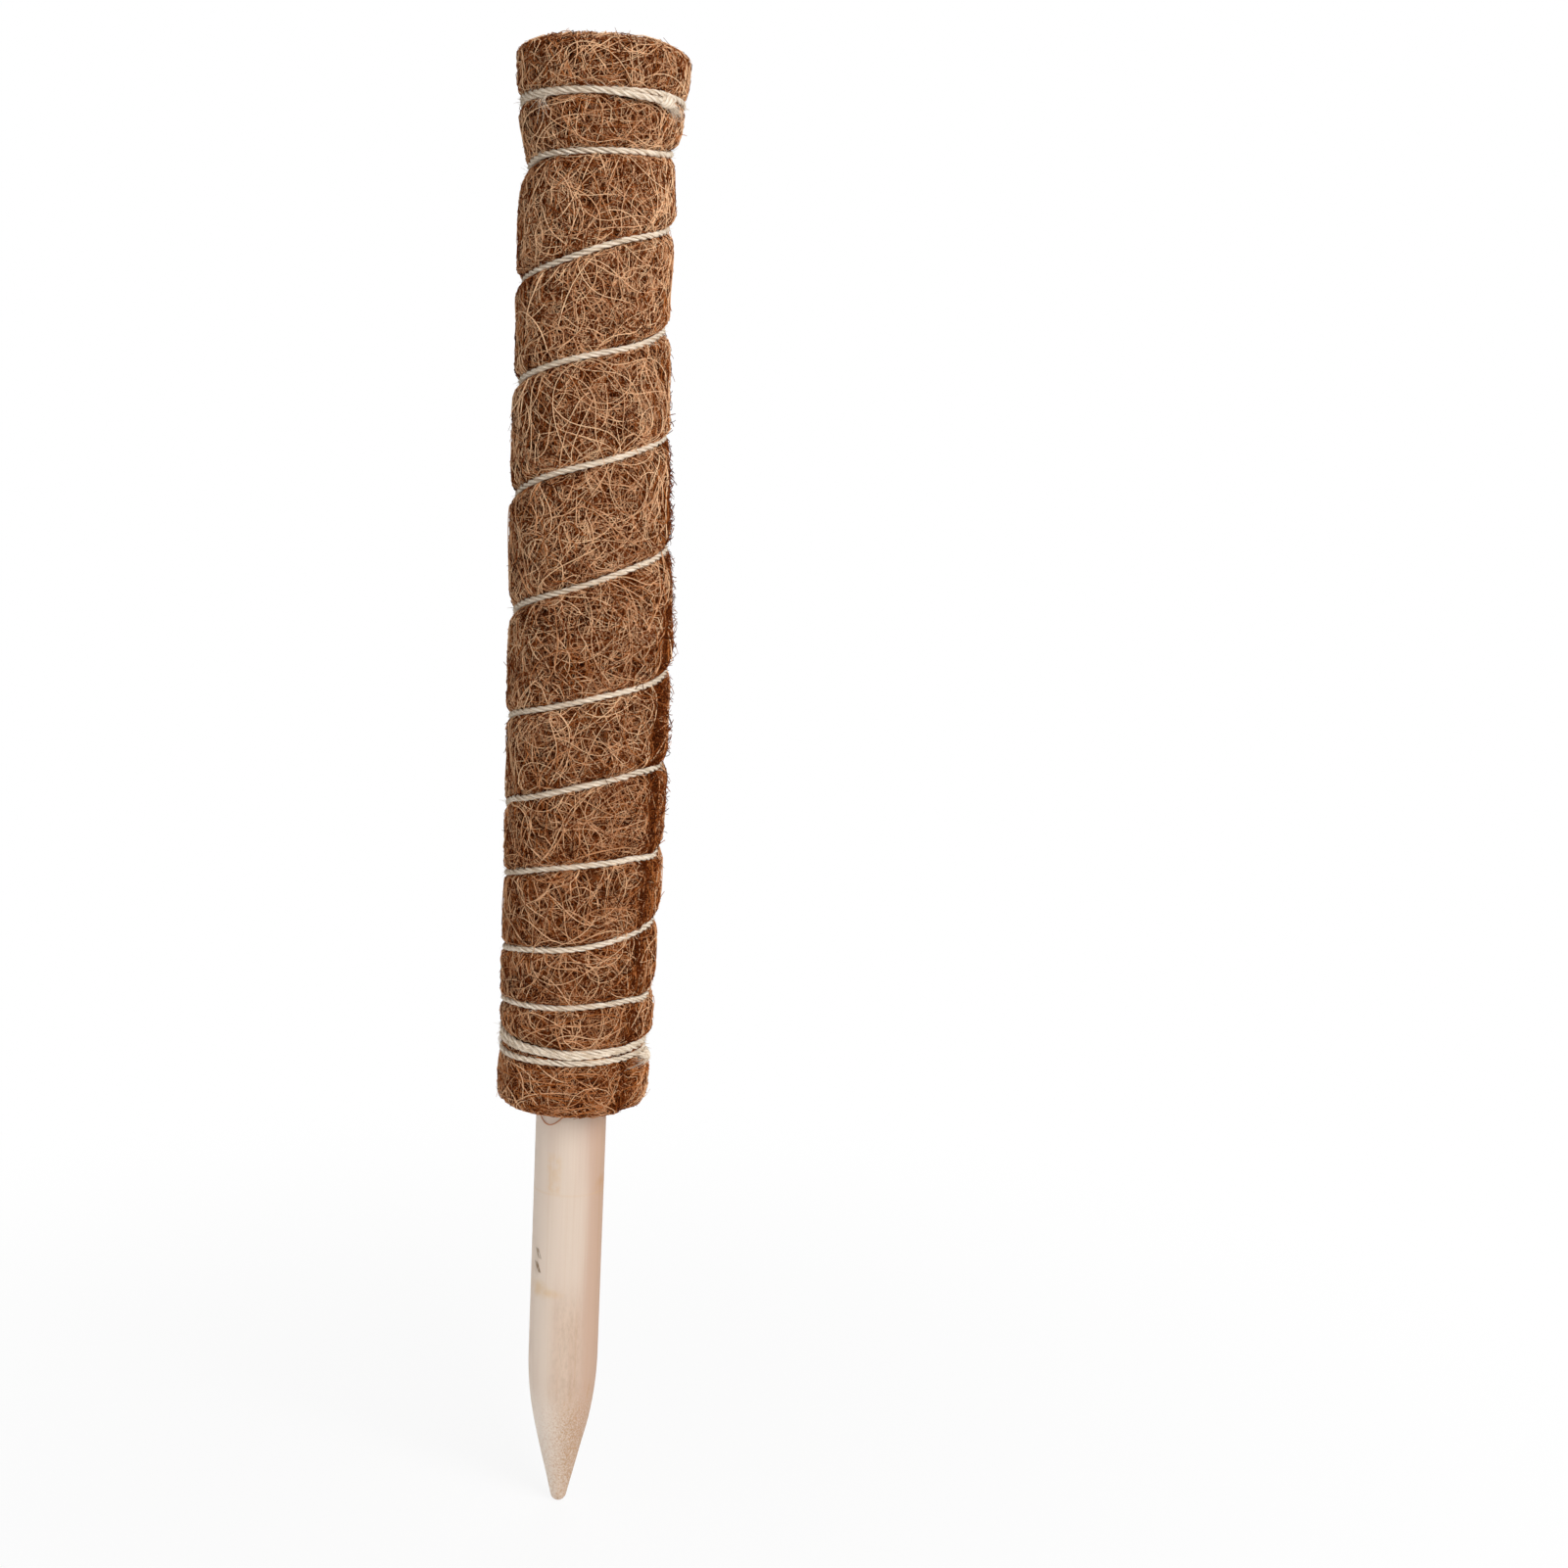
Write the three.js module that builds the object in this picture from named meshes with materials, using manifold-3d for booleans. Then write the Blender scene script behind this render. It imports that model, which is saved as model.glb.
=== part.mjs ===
// Moss pole: a pointed wooden stake inside a rolled coir mat, bound all along with one jute twine.
// Millimetres, +Z up along the pole. The origin is on the axis at the soil line, where the mat ends.
// The photographed side is the front, on -Y. Angles of the winding run from the front towards +X.

import * as THREE from 'three';
import { mergeVertices } from 'three/addons/utils/BufferGeometryUtils.js';
import Module from 'manifold-3d';

// Stake
const STAKE_DIAMETER = 19.5;
const STAKE_EXPOSED = 120; // below the soil line, point included
const STAKE_EMBEDDED = 155; // above the soil line; the bore over it is the socket for the next stake
const POINT_LENGTH = 33;
const TIP_RADIUS = 2.3;
const STAKE_CHAMFER = 1;

// Coir mat, rolled into a sleeve of two layers
const SLEEVE_LENGTH = 280;
const MAT_THICKNESS = 5.4; // where the twine doesn't press it
const INNER_EDGE = 2; // thickness of the mat's pressed inner edge
const ROLL_OVERLAP = 290; // degrees from the mat's inner edge to its outer one, past the first turn
const FLARE_LENGTH = 36; // of the loose top end
const TOP_FLARE = 1.8; // how much the radius grows there
const TOP_EASE = 1.7; // how much less deep the twine cuts there
const NECK_DROP = 27.5; // from the top to the turn that is pulled tightest
const NECK_REACH = 13; // how far above and below it the pull fades out
const NECK_DEPTH = 1; // how much deeper that turn cuts
const END_ROUND = 4;
const GROOVE_DEPTH = 3.1; // how far the twine pulls the mat in below its bulges
const GROOVE_SHOULDER = 3.6; // from the twine's middle to where a bulge is nearly full
const FULL_BULGE_SPAN = 10; // free mat between two turns that bulges fully; less is flatter
const SEAM_STEP = 3; // how far the mat's outer edge stands over the layer under it
const SEAM_FADE = 50; // degrees past the seam where that layer has swelled to the full radius
const SEAM_ANGLE = 44; // degrees from the front, at the soil line
const SEAM_TWIST = 87; // degrees that the seam turns over the sleeve's length

// Twine
const TWINE_DIAMETER = 1.8;
// Rise of each open turn as wound by hand, from the bottom. Their sum is fitted to the sleeve.
const TURN_PITCHES = [12.3, 16.4, 22.2, 21.5, 22.3, 30.6, 29.9, 28.2, 25.9, 25, 12.7];
const BOTTOM_BINDING_TURNS = 2.75;
const TOP_BINDING_TURNS = 1.125;
const BOTTOM_BINDING_RISE = 18.3; // first helix turn over the soil line
const TOP_BINDING_DROP = 14.7; // last helix turn under the sleeve's top
const STRAND_GAP = 0.45; // between the strands of a binding

// Knots at the two ends of the twine
const KNOT_DIAMETER = 3.4;
const KNOT_LENGTH = 4.2;
const TAIL_DIAMETER = 1.5;
const TAIL_LENGTH = 2.6;

// Clearances
const STAKE_FIT = 0.3;
const LAYER_GAP = 0.5;
const TWINE_SEAT = 0.3;
const TWINE_SIDE_ROOM = 0.5; // groove floor beside the twine
const KNOT_SEAT = 0.3;

// Facets
const SIDES = 24; // round the stake, the sleeve and each loop of twine
const TWINE_SIDES = 6;
const KNOT_SIDES = 12;
const ARC_STEPS = 3; // in each rounded edge
const TWIST_STEPS = 8; // along the twisted seam
const FADE_STEPS = 5;
const LIFT_STEPS = 4; // in which an end of the twine climbs to its knot

// Shape of a bulge and of a knot
const FLOOR_SHARE = 0.35; // most that a groove floor takes of a narrow strip, each side
const SHOULDER_SHARE = 0.42;
const SHOULDER_HEIGHT = 0.85; // of the bulge
const KNOT_FACE_SHARE = 0.6;
const CUT_MARGIN = 3;

const stakeRadius = STAKE_DIAMETER / 2;
const boreRadius = stakeRadius + STAKE_FIT;
const crestRadius = boreRadius + 2 * MAT_THICKNESS;
const twineRadius = TWINE_DIAMETER / 2;
const knotRadius = KNOT_DIAMETER / 2;
const bindingStep = TWINE_DIAMETER + STRAND_GAP;
const floorHalf = twineRadius + TWINE_SIDE_ROOM;
const knotReach = knotRadius + twineRadius + KNOT_SEAT; // from a knot's middle to the next strand's
const knotLift = Math.sqrt(Math.max(knotReach ** 2 - bindingStep ** 2, 0)); // knots sit on the bindings
const helixSteps = TURN_PITCHES.length * SIDES;
const firstStep = -Math.round(BOTTOM_BINDING_TURNS * SIDES);
const lastStep = helixSteps + Math.round(TOP_BINDING_TURNS * SIDES);
const front = -Math.PI / 2;
const fullTurn = 2 * Math.PI;

const wasm = await Module();
wasm.setup();

// Boolean cuts

function toSolid(geometry) {
  const bare = geometry.clone();
  bare.deleteAttribute('normal');
  bare.deleteAttribute('uv');
  const merged = mergeVertices(bare);
  return new wasm.Manifold(new wasm.Mesh({
    numProp: 3,
    vertProperties: new Float32Array(merged.attributes.position.array),
    triVerts: new Uint32Array(merged.index.array),
  }));
}

function fromSolid(solid) {
  const mesh = solid.getMesh();
  const geometry = new THREE.BufferGeometry();
  geometry.setAttribute('position', new THREE.BufferAttribute(new Float32Array(mesh.vertProperties), 3));
  geometry.setIndex(new THREE.BufferAttribute(new Uint32Array(mesh.triVerts), 1));
  geometry.computeVertexNormals();
  return geometry;
}

// Joins triangles given by their corners into one closed geometry, without those that have no area
function closedGeometry(corners) {
  const geometry = new THREE.BufferGeometry();
  geometry.setAttribute('position', new THREE.Float32BufferAttribute(corners.flat(), 3));
  const merged = mergeVertices(geometry);
  const kept = [];
  const index = merged.index.array;
  for (let i = 0; i < index.length; i += 3) {
    const [a, b, c] = index.slice(i, i + 3);
    if (a !== b && b !== c && c !== a) {
      kept.push(a, b, c);
    }
  }
  merged.setIndex(kept);
  merged.computeVertexNormals();
  return merged;
}

function addQuad(corners, a, b, c, d) {
  corners.push(a, b, c, a, c, d);
}

// Winding

// Rise per turn at a place on the helix, which changes evenly from the middle of one turn to the next
function pitchAt(turn) {
  const place = THREE.MathUtils.clamp(turn - 0.5, 0, TURN_PITCHES.length - 1);
  const below = Math.floor(place);
  const above = Math.min(below + 1, TURN_PITCHES.length - 1);
  return THREE.MathUtils.lerp(TURN_PITCHES[below], TURN_PITCHES[above], place - below);
}

// Heights of the helix above the soil line, one for each step round the pole
function helixHeights() {
  const risen = [0];
  for (let i = 0; i < helixSteps; i++) {
    risen.push(risen[i] + pitchAt((i + 0.5) / SIDES));
  }
  const rise = SLEEVE_LENGTH - TOP_BINDING_DROP - BOTTOM_BINDING_RISE;
  return risen.map((height) => BOTTOM_BINDING_RISE + (height * rise) / risen[helixSteps]);
}

const heights = helixHeights();

// Height of the twine, with the bindings wound on at their own narrow step
function twineHeight(step) {
  if (step < 0) {
    return heights[0] + (step / SIDES) * bindingStep;
  }
  if (step > helixSteps) {
    return heights[helixSteps] + ((step - helixSteps) / SIDES) * bindingStep;
  }
  return heights[step];
}

// Height of the groove that the helix presses into the mat. Past both ends it runs level.
function grooveHeight(step) {
  return heights[Math.min(Math.max(step, 0), helixSteps)];
}

// Radius of the sleeve. fill is 0 on a groove's floor and 1 on a full bulge.
function sleeveRadius(z, fill) {
  const loose = THREE.MathUtils.smoothstep(z, SLEEVE_LENGTH - FLARE_LENGTH, SLEEVE_LENGTH);
  const fromNeck = Math.abs(z - SLEEVE_LENGTH + NECK_DROP);
  const neck = 1 - THREE.MathUtils.smoothstep(fromNeck, 0, NECK_REACH);
  const depth = GROOVE_DEPTH - TOP_EASE * loose + NECK_DEPTH * neck;
  return crestRadius + TOP_FLARE * loose - depth * (1 - fill);
}

function around(step, radius, z) {
  const angle = front + (fullTurn * (((step % SIDES) + SIDES) % SIDES)) / SIDES;
  return [radius * Math.cos(angle), radius * Math.sin(angle), z];
}

// Coir mat

// The points across the strip of mat between one turn of the groove and the next one up
function stripPoints(step) {
  const low = grooveHeight(step);
  const span = grooveHeight(step + SIDES) - low;
  const bulge = THREE.MathUtils.clamp((span - 2 * floorHalf) / FULL_BULGE_SPAN, 0, 1);
  const floor = Math.min(floorHalf, FLOOR_SHARE * span);
  const shoulder = Math.min(GROOVE_SHOULDER, SHOULDER_SHARE * span);
  const across = [
    [0, 0],
    [floor, 0],
    [shoulder, SHOULDER_HEIGHT],
    [span / 2, 1],
    [span - shoulder, SHOULDER_HEIGHT],
    [span - floor, 0],
    [span, 0],
  ];
  return across.map(([up, share]) => {
    const z = low + up;
    return around(step, sleeveRadius(z, bulge * share), z);
  });
}

// Rings from the last strand of a binding out to the end face: groove floor, bulge, rounded rim, bore.
// side is -1 at the soil line and 1 at the top.
function endRings(bindingEdge, endHeight, side) {
  const rimStart = endHeight - side * END_ROUND;
  const floorEnd = bindingEdge + side * floorHalf;
  const middle = (floorEnd + rimStart) / 2;
  const rimRadius = sleeveRadius(rimStart, 1);
  const rings = [
    [sleeveRadius(floorEnd, 0), floorEnd],
    [sleeveRadius(middle, SHOULDER_HEIGHT), middle],
  ];
  for (let i = 0; i <= ARC_STEPS; i++) {
    const turn = (Math.PI / 2) * (i / ARC_STEPS);
    rings.push([rimRadius - END_ROUND * (1 - Math.cos(turn)), rimStart + side * END_ROUND * Math.sin(turn)]);
  }
  rings.push([boreRadius, endHeight]);
  return rings;
}

function sleeveGeometry() {
  const corners = [];
  for (let step = -SIDES; step < helixSteps; step++) {
    const here = stripPoints(step);
    const next = stripPoints(step + 1);
    for (let k = 0; k + 1 < here.length; k++) {
      addQuad(corners, here[k], next[k], next[k + 1], here[k + 1]);
    }
  }
  const lowGroove = [sleeveRadius(heights[0], 0), heights[0]];
  const highGroove = [sleeveRadius(heights[helixSteps], 0), heights[helixSteps]];
  const bottom = [lowGroove, ...endRings(twineHeight(firstStep), 0, -1)].reverse();
  const top = [highGroove, ...endRings(twineHeight(lastStep), SLEEVE_LENGTH, 1)];
  const bore = [top.at(-1), bottom[0]];
  for (const rings of [bottom, top, bore]) {
    for (let i = 0; i + 1 < rings.length; i++) {
      for (let step = 0; step < SIDES; step++) {
        const [low, high] = [rings[i], rings[i + 1]];
        addQuad(
          corners,
          around(step, ...low),
          around(step + 1, ...low),
          around(step + 1, ...high),
          around(step, ...high),
        );
      }
    }
  }
  return closedGeometry(corners);
}

// The thin spiral gap between the mat's layers, which opens at the seam into a step that fades out.
// Its section is drawn with the seam at the front, and then turned with the seam at each height.
function layerGapGeometry() {
  const seamRadius = boreRadius + MAT_THICKNESS;
  const startRadius = boreRadius + INNER_EDGE;
  const sweep = THREE.MathUtils.degToRad(ROLL_OVERLAP);
  const sweepSteps = Math.ceil((sweep / fullTurn) * SIDES);
  const highest = crestRadius + TOP_FLARE;
  const outside = highest + CUT_MARGIN;
  const fade = THREE.MathUtils.degToRad(SEAM_FADE);
  const insideBore = boreRadius - CUT_MARGIN;
  const polar = (radius, turn) => new THREE.Vector2(
    radius * Math.cos(front + turn),
    radius * Math.sin(front + turn),
  );
  const outline = [polar(insideBore, -sweep)];
  const innerWall = [];
  for (let i = 0; i <= sweepSteps; i++) {
    const done = i / sweepSteps;
    const middle = THREE.MathUtils.lerp(startRadius, seamRadius, done);
    outline.push(polar(middle + LAYER_GAP / 2, -sweep * (1 - done)));
    innerWall.push(polar(middle - LAYER_GAP / 2, -sweep * (1 - done) + LAYER_GAP / middle));
  }
  const floor = [];
  for (let i = 0; i <= FADE_STEPS; i++) {
    const done = i / FADE_STEPS;
    const turn = THREE.MathUtils.lerp(LAYER_GAP / seamRadius, fade, done);
    outline.push(polar(outside, fade * done));
    floor.push(polar(THREE.MathUtils.lerp(crestRadius - SEAM_STEP, highest + CUT_MARGIN / 2, done), turn));
  }
  outline.push(...floor.reverse(), ...innerWall.reverse());
  outline.push(polar(insideBore, -sweep + LAYER_GAP / startRadius));
  const depth = SLEEVE_LENGTH + 2 * CUT_MARGIN;
  const geometry = new THREE.ExtrudeGeometry(
    new THREE.Shape(outline),
    { depth, steps: TWIST_STEPS, bevelEnabled: false },
  );
  geometry.translate(0, 0, -CUT_MARGIN);
  const position = geometry.attributes.position;
  const point = new THREE.Vector3();
  const axis = new THREE.Vector3(0, 0, 1);
  for (let i = 0; i < position.count; i++) {
    point.fromBufferAttribute(position, i);
    const degrees = SEAM_ANGLE + (SEAM_TWIST * point.z) / SLEEVE_LENGTH;
    point.applyAxisAngle(axis, THREE.MathUtils.degToRad(degrees));
    position.setXYZ(i, point.x, point.y, point.z);
  }
  return geometry;
}

// Twine

// Middle line of the twine from the bottom knot to the top one. Each end climbs on to its binding and
// then runs straight for one diameter.
function twinePath() {
  const points = [];
  for (let step = firstStep; step <= lastStep; step++) {
    const z = twineHeight(step);
    const toEnd = Math.min(step - firstStep, lastStep - step);
    const lift = knotLift * (1 - THREE.MathUtils.smoothstep(toEnd, 0, LIFT_STEPS));
    const radius = sleeveRadius(z, 0) + TWINE_SEAT + twineRadius + lift;
    points.push(new THREE.Vector3(...around(step, radius, z)));
  }
  const straightOn = (from, to) => to.clone().add(to.clone().sub(from).setLength(TWINE_DIAMETER));
  points.unshift(straightOn(points[1], points[0]));
  points.push(straightOn(points.at(-2), points.at(-1)));
  return points;
}

function tubeGeometry(points, radius, sides) {
  const rings = points.map((point, i) => {
    const before = points[Math.max(i - 1, 0)];
    const after = points[Math.min(i + 1, points.length - 1)];
    const along = after.clone().sub(before).normalize();
    const out = new THREE.Vector3(point.x, point.y, 0);
    out.addScaledVector(along, -out.dot(along)).normalize();
    const side = along.clone().cross(out);
    return Array.from({ length: sides }, (_, k) => {
      const turn = (fullTurn * (k + 0.5)) / sides;
      return point.clone()
        .addScaledVector(out, radius * Math.cos(turn))
        .addScaledVector(side, radius * Math.sin(turn))
        .toArray();
    });
  });
  const corners = [];
  for (let i = 0; i + 1 < rings.length; i++) {
    for (let k = 0; k < sides; k++) {
      const next = (k + 1) % sides;
      addQuad(corners, rings[i][k], rings[i][next], rings[i + 1][next], rings[i + 1][k]);
    }
  }
  const first = points[0].toArray();
  const last = points.at(-1).toArray();
  for (let k = 0; k < sides; k++) {
    const next = (k + 1) % sides;
    corners.push(first, rings[0][next], rings[0][k]);
    corners.push(last, rings.at(-1)[k], rings.at(-1)[next]);
  }
  return closedGeometry(corners);
}

// Least clear distance between two strands of the winding, on the points of its middle line
function leastGap(points) {
  let least = Infinity;
  for (let i = 0; i < points.length; i++) {
    for (let j = i + Math.ceil(SIDES / 2); j < points.length; j++) {
      least = Math.min(least, points[i].distanceTo(points[j]) - TWINE_DIAMETER);
    }
  }
  return least;
}

// Stake and knots

function turned(profile, sides) {
  const geometry = new THREE.LatheGeometry(profile.map(([r, y]) => new THREE.Vector2(r, y)), sides);
  geometry.rotateX(Math.PI / 2);
  return geometry;
}

function stakeGeometry() {
  const slope = Math.atan2(stakeRadius - TIP_RADIUS, POINT_LENGTH);
  const profile = [];
  for (let i = 0; i <= ARC_STEPS; i++) {
    const turn = (Math.PI / 2 - slope) * (i / ARC_STEPS);
    profile.push([TIP_RADIUS * Math.sin(turn), -STAKE_EXPOSED + TIP_RADIUS * (1 - Math.cos(turn))]);
  }
  profile.push([stakeRadius, POINT_LENGTH - STAKE_EXPOSED]);
  profile.push([stakeRadius, STAKE_EMBEDDED - STAKE_CHAMFER]);
  profile.push([stakeRadius - STAKE_CHAMFER, STAKE_EMBEDDED]);
  profile.push([0, STAKE_EMBEDDED]);
  return turned(profile, SIDES);
}

// A knot is a barrel with a flat face to the twine and a short free tail
function knotGeometry() {
  const face = Math.max(KNOT_FACE_SHARE * knotRadius, twineRadius);
  return turned([
    [0, 0],
    [face, 0],
    [knotRadius, KNOT_LENGTH / 3],
    [knotRadius, (2 * KNOT_LENGTH) / 3],
    [TAIL_DIAMETER / 2, KNOT_LENGTH],
    [TAIL_DIAMETER / 2, KNOT_LENGTH + TAIL_LENGTH],
    [0, KNOT_LENGTH + TAIL_LENGTH],
  ], KNOT_SIDES);
}

// Puts a knot in line with the end of the twine
function placeKnot(mesh, from, end) {
  const along = end.clone().sub(from).normalize();
  mesh.quaternion.setFromUnitVectors(new THREE.Vector3(0, 0, 1), along);
  mesh.position.copy(end).addScaledVector(along, KNOT_SEAT);
}

// Assembly

const wood = { color: 0xdcc4ae, roughness: 0.72, metalness: 0 };
const coir = { color: 0x7d4a28, roughness: 0.95, metalness: 0 };
const jute = { color: 0xc9b497, roughness: 0.9, metalness: 0 };

const pole = new THREE.Group();

function addPiece(name, geometry, finish) {
  const mesh = new THREE.Mesh(geometry, new THREE.MeshStandardMaterial(finish));
  mesh.name = name;
  pole.add(mesh);
  return mesh;
}

addPiece('wooden_stake', stakeGeometry(), wood);

const mat = toSolid(sleeveGeometry()).subtract(toSolid(layerGapGeometry()));
addPiece('coir_mat', fromSolid(mat), coir);

const path = twinePath();
addPiece('twine_winding', tubeGeometry(path, twineRadius, TWINE_SIDES), jute);
console.log(`twine_winding: least gap to itself ${leastGap(path).toFixed(2)} mm`);

placeKnot(addPiece('bottom_knot', knotGeometry(), jute), path[1], path[0]);
placeKnot(addPiece('top_knot', knotGeometry(), jute), path.at(-2), path.at(-1));

export default pole;
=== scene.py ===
"""Looks of a moss pole: a coir fibre sleeve on a pointed wooden stake, bound with jute twine.

All sizes are metres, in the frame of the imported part: +Z up, the soil line at the origin and the
front on -Y. Angles round the pole run from the front towards +X.
"""
import math

import bpy
import numpy as np
from mathutils import Matrix, Vector


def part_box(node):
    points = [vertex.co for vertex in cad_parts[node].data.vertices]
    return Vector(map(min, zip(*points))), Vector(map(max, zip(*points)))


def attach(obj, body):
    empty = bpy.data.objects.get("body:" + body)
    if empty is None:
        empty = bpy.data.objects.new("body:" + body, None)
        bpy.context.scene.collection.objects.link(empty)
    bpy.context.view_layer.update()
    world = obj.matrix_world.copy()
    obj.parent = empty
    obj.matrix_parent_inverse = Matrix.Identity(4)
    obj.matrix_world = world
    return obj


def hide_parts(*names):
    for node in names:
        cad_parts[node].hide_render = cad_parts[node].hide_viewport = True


bl_info = {
    "name": "Moss pole",
    "version": (1, 0, 0),
    "blender": (4, 5, 0),
    "location": "View3D > Sidebar > Moss pole",
    "description": "Builds a coir moss pole with its stake, fibre sleeve, twine and knots",
    "category": "Add Mesh",
}

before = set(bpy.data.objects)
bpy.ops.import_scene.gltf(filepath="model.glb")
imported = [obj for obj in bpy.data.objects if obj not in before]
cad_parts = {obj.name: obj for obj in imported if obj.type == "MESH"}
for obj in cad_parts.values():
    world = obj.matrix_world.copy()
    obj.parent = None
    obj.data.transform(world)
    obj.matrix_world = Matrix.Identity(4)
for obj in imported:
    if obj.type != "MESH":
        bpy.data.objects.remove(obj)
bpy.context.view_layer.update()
STAKE_LOW, STAKE_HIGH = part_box("wooden_stake")
SLEEVE_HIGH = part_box("coir_mat")[1]

MM = 0.001
FULL_TURN = 2 * math.pi
BODY = "root"


def size_property(name, description, default):
    """A length that is shown in the scene's units."""
    return bpy.props.FloatProperty(
        name=name, description=description, default=default, unit="LENGTH", precision=5
    )


def angle_property(name, description, degrees):
    """An angle that is shown in degrees."""
    return bpy.props.FloatProperty(
        name=name, description=description, default=math.radians(degrees), subtype="ANGLE"
    )


def count_property(name, description, default):
    """A number of like things."""
    return bpy.props.IntProperty(name=name, description=description, default=default, min=10)


def turns_property(name, description, default):
    """A number of turns, whole or not."""
    return bpy.props.FloatProperty(name=name, description=description, default=default, min=0)


def colour_property(name, description, red, green, blue):
    """A colour given as it looks on a screen, from 0 to 255, and kept as linear light."""
    linear = [
        part / 12.92 if part <= 0.04045 else ((part + 0.055) / 1.055) ** 2.4
        for part in (red / 255, green / 255, blue / 255)
    ]
    return bpy.props.FloatVectorProperty(
        name=name, description=description, default=linear, subtype="COLOR", min=0, max=1
    )


class StakeSettings(bpy.types.PropertyGroup):
    """Sizes and colours of the wooden stake."""

    diameter: size_property("Diameter", "Across the round stake", STAKE_HIGH.x - STAKE_LOW.x)
    point: size_property("Point", "Length of the turned point", 33 * MM)
    tip_radius: size_property("Tip radius", "Rounding of the point's end", 2.3 * MM)
    shoulder: size_property(
        "Shoulder", "Reach of the rounding on each side of the point's start", 12 * MM
    )
    pale: colour_property("Pale wood", "Colour of the early wood", 220, 201, 184)
    # Fresh wood also serves as painted light on the stake's left side.
    fresh: colour_property("Fresh wood", "Palest colour of the turned point", 238, 226, 213)
    # Pink wood is partly painted shade on the stake's right side.
    pink: colour_property("Pink wood", "Colour of the warmer streaks", 206, 178, 161)
    # End grain also serves as painted shade on the stake's right edge.
    tan: colour_property("End grain", "Colour of the specks on the cut point", 194, 150, 110)
    worn: colour_property("Rubbed wood", "Colour of the rubbed spots", 214, 176, 122)
    mark: colour_property("Marks", "Colour of the few dark marks in the grain", 118, 86, 40)


class SleeveSettings(bpy.types.PropertyGroup):
    """Sizes and colours of the coir sleeve."""

    length: size_property("Length", "From the soil line to the top", SLEEVE_HIGH.z)
    bore_radius: size_property("Bore radius", "Of the hole round the stake", 10.05 * MM)
    mat_thickness: size_property("Mat thickness", "Of one layer of the roll", 5.4 * MM)
    groove_depth: size_property("Groove depth", "How far the twine pulls the mat in", 3.1 * MM)
    groove_width: size_property("Groove width", "How soon the mat swells beside the twine", 1.55 * MM)
    flare: size_property("Top flare", "How much the loose top widens", 1.8 * MM)
    flare_length: size_property("Flare length", "Of the loose top", 36 * MM)
    top_ease: size_property("Top ease", "How much less deep the twine cuts at the top", 1.7 * MM)
    neck_drop: size_property("Neck drop", "From the top to the tightest turn", 27.5 * MM)
    neck_reach: size_property("Neck reach", "How far from that turn its pull fades out", 12 * MM)
    neck_depth: size_property("Neck depth", "How far that turn draws the roll in", 1.5 * MM)
    end_round: size_property("End rounding", "Of the rims", 3.2 * MM)
    felt_sink: size_property("Felt sink", "How deep the dark felt lies under the fibres", 1.25 * MM)
    seam_step: size_property("Seam step", "Height of the mat's free edge", 2.4 * MM)
    seam_curl: size_property("Seam curl", "How far the free edge stands off at the middle", 0.7 * MM)
    seam_angle: angle_property("Seam angle", "Of the free edge at the soil line", 44)
    seam_twist: angle_property("Seam twist", "How far the edge turns up to the top", 87)
    seam_bow: angle_property("Seam bow", "How much nearer the front the edge lies at the middle", 18)
    seam_fade: angle_property("Seam fade", "Where the layer below has swelled again", 34)
    roll_overlap: angle_property("Roll overlap", "From the mat's inner edge to its outer one", 290)
    felt_fibres: count_property("Felt fibres", "Fibres that make the surface", 50500)
    long_fibres: count_property("Long fibres", "Pale fibres lying on top", 1240)
    loose_ends: count_property("Loose ends", "Short ends that stand off", 2600)
    edge_ends: count_property("Edge ends", "Cut ends along the free edge", 3000)
    # The dark coir colour is painted shade between the fibres.
    dark: colour_property("Dark coir", "Colour between the fibres", 48, 14, 1)
    deep: colour_property("Deep fibres", "Colour of the darkest fibres", 120, 53, 12)
    middle: colour_property("Middle fibres", "Colour of most fibres", 190, 115, 60)
    golden: colour_property("Golden fibres", "Colour of the palest fibres", 255, 212, 168)


class TwineSettings(bpy.types.PropertyGroup):
    """Sizes and colours of the jute twine."""

    diameter: size_property("Diameter", "Across the laid twine", 1.8 * MM)
    seat: size_property("Seat", "From the groove's floor to the twine", 0.05 * MM)
    strand_gap: size_property("Strand gap", "Between the strands of a binding", 0.45 * MM)
    lay: size_property("Lay", "Length in which the plies turn once", 8 * MM)
    first_turn: size_property("First turn", "Height of the lowest helix turn", 18.3 * MM)
    last_turn: size_property("Last turn", "Depth of the highest helix turn under the top", 14.7 * MM)
    knot_diameter: size_property("Knot diameter", "Across a tied end", 3.4 * MM)
    knot_length: size_property("Knot length", "Along a tied end", 4.2 * MM)
    pitches: bpy.props.FloatVectorProperty(
        name="Pitches",
        description="Rise of each open turn from the bottom, fitted to the sleeve",
        default=[
            rise * MM
            for rise in (12.3, 16.4, 22.2, 21.5, 22.3, 30.6, 29.9, 28.2, 25.9, 25, 12.7)
        ],
        size=11,
        unit="LENGTH",
    )
    bottom_turns: turns_property("Bottom binding", "Close turns at the bottom", 2.75)
    top_turns: turns_property("Top binding", "Close turns at the top", 1.125)
    hairs: count_property("Hairs", "Fine hairs along the twine", 3700)
    pale: colour_property("Pale jute", "Colour of the washed fibres", 251, 236, 216)
    tan: colour_property("Tan jute", "Colour of the darker streaks", 204, 180, 152)


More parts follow.
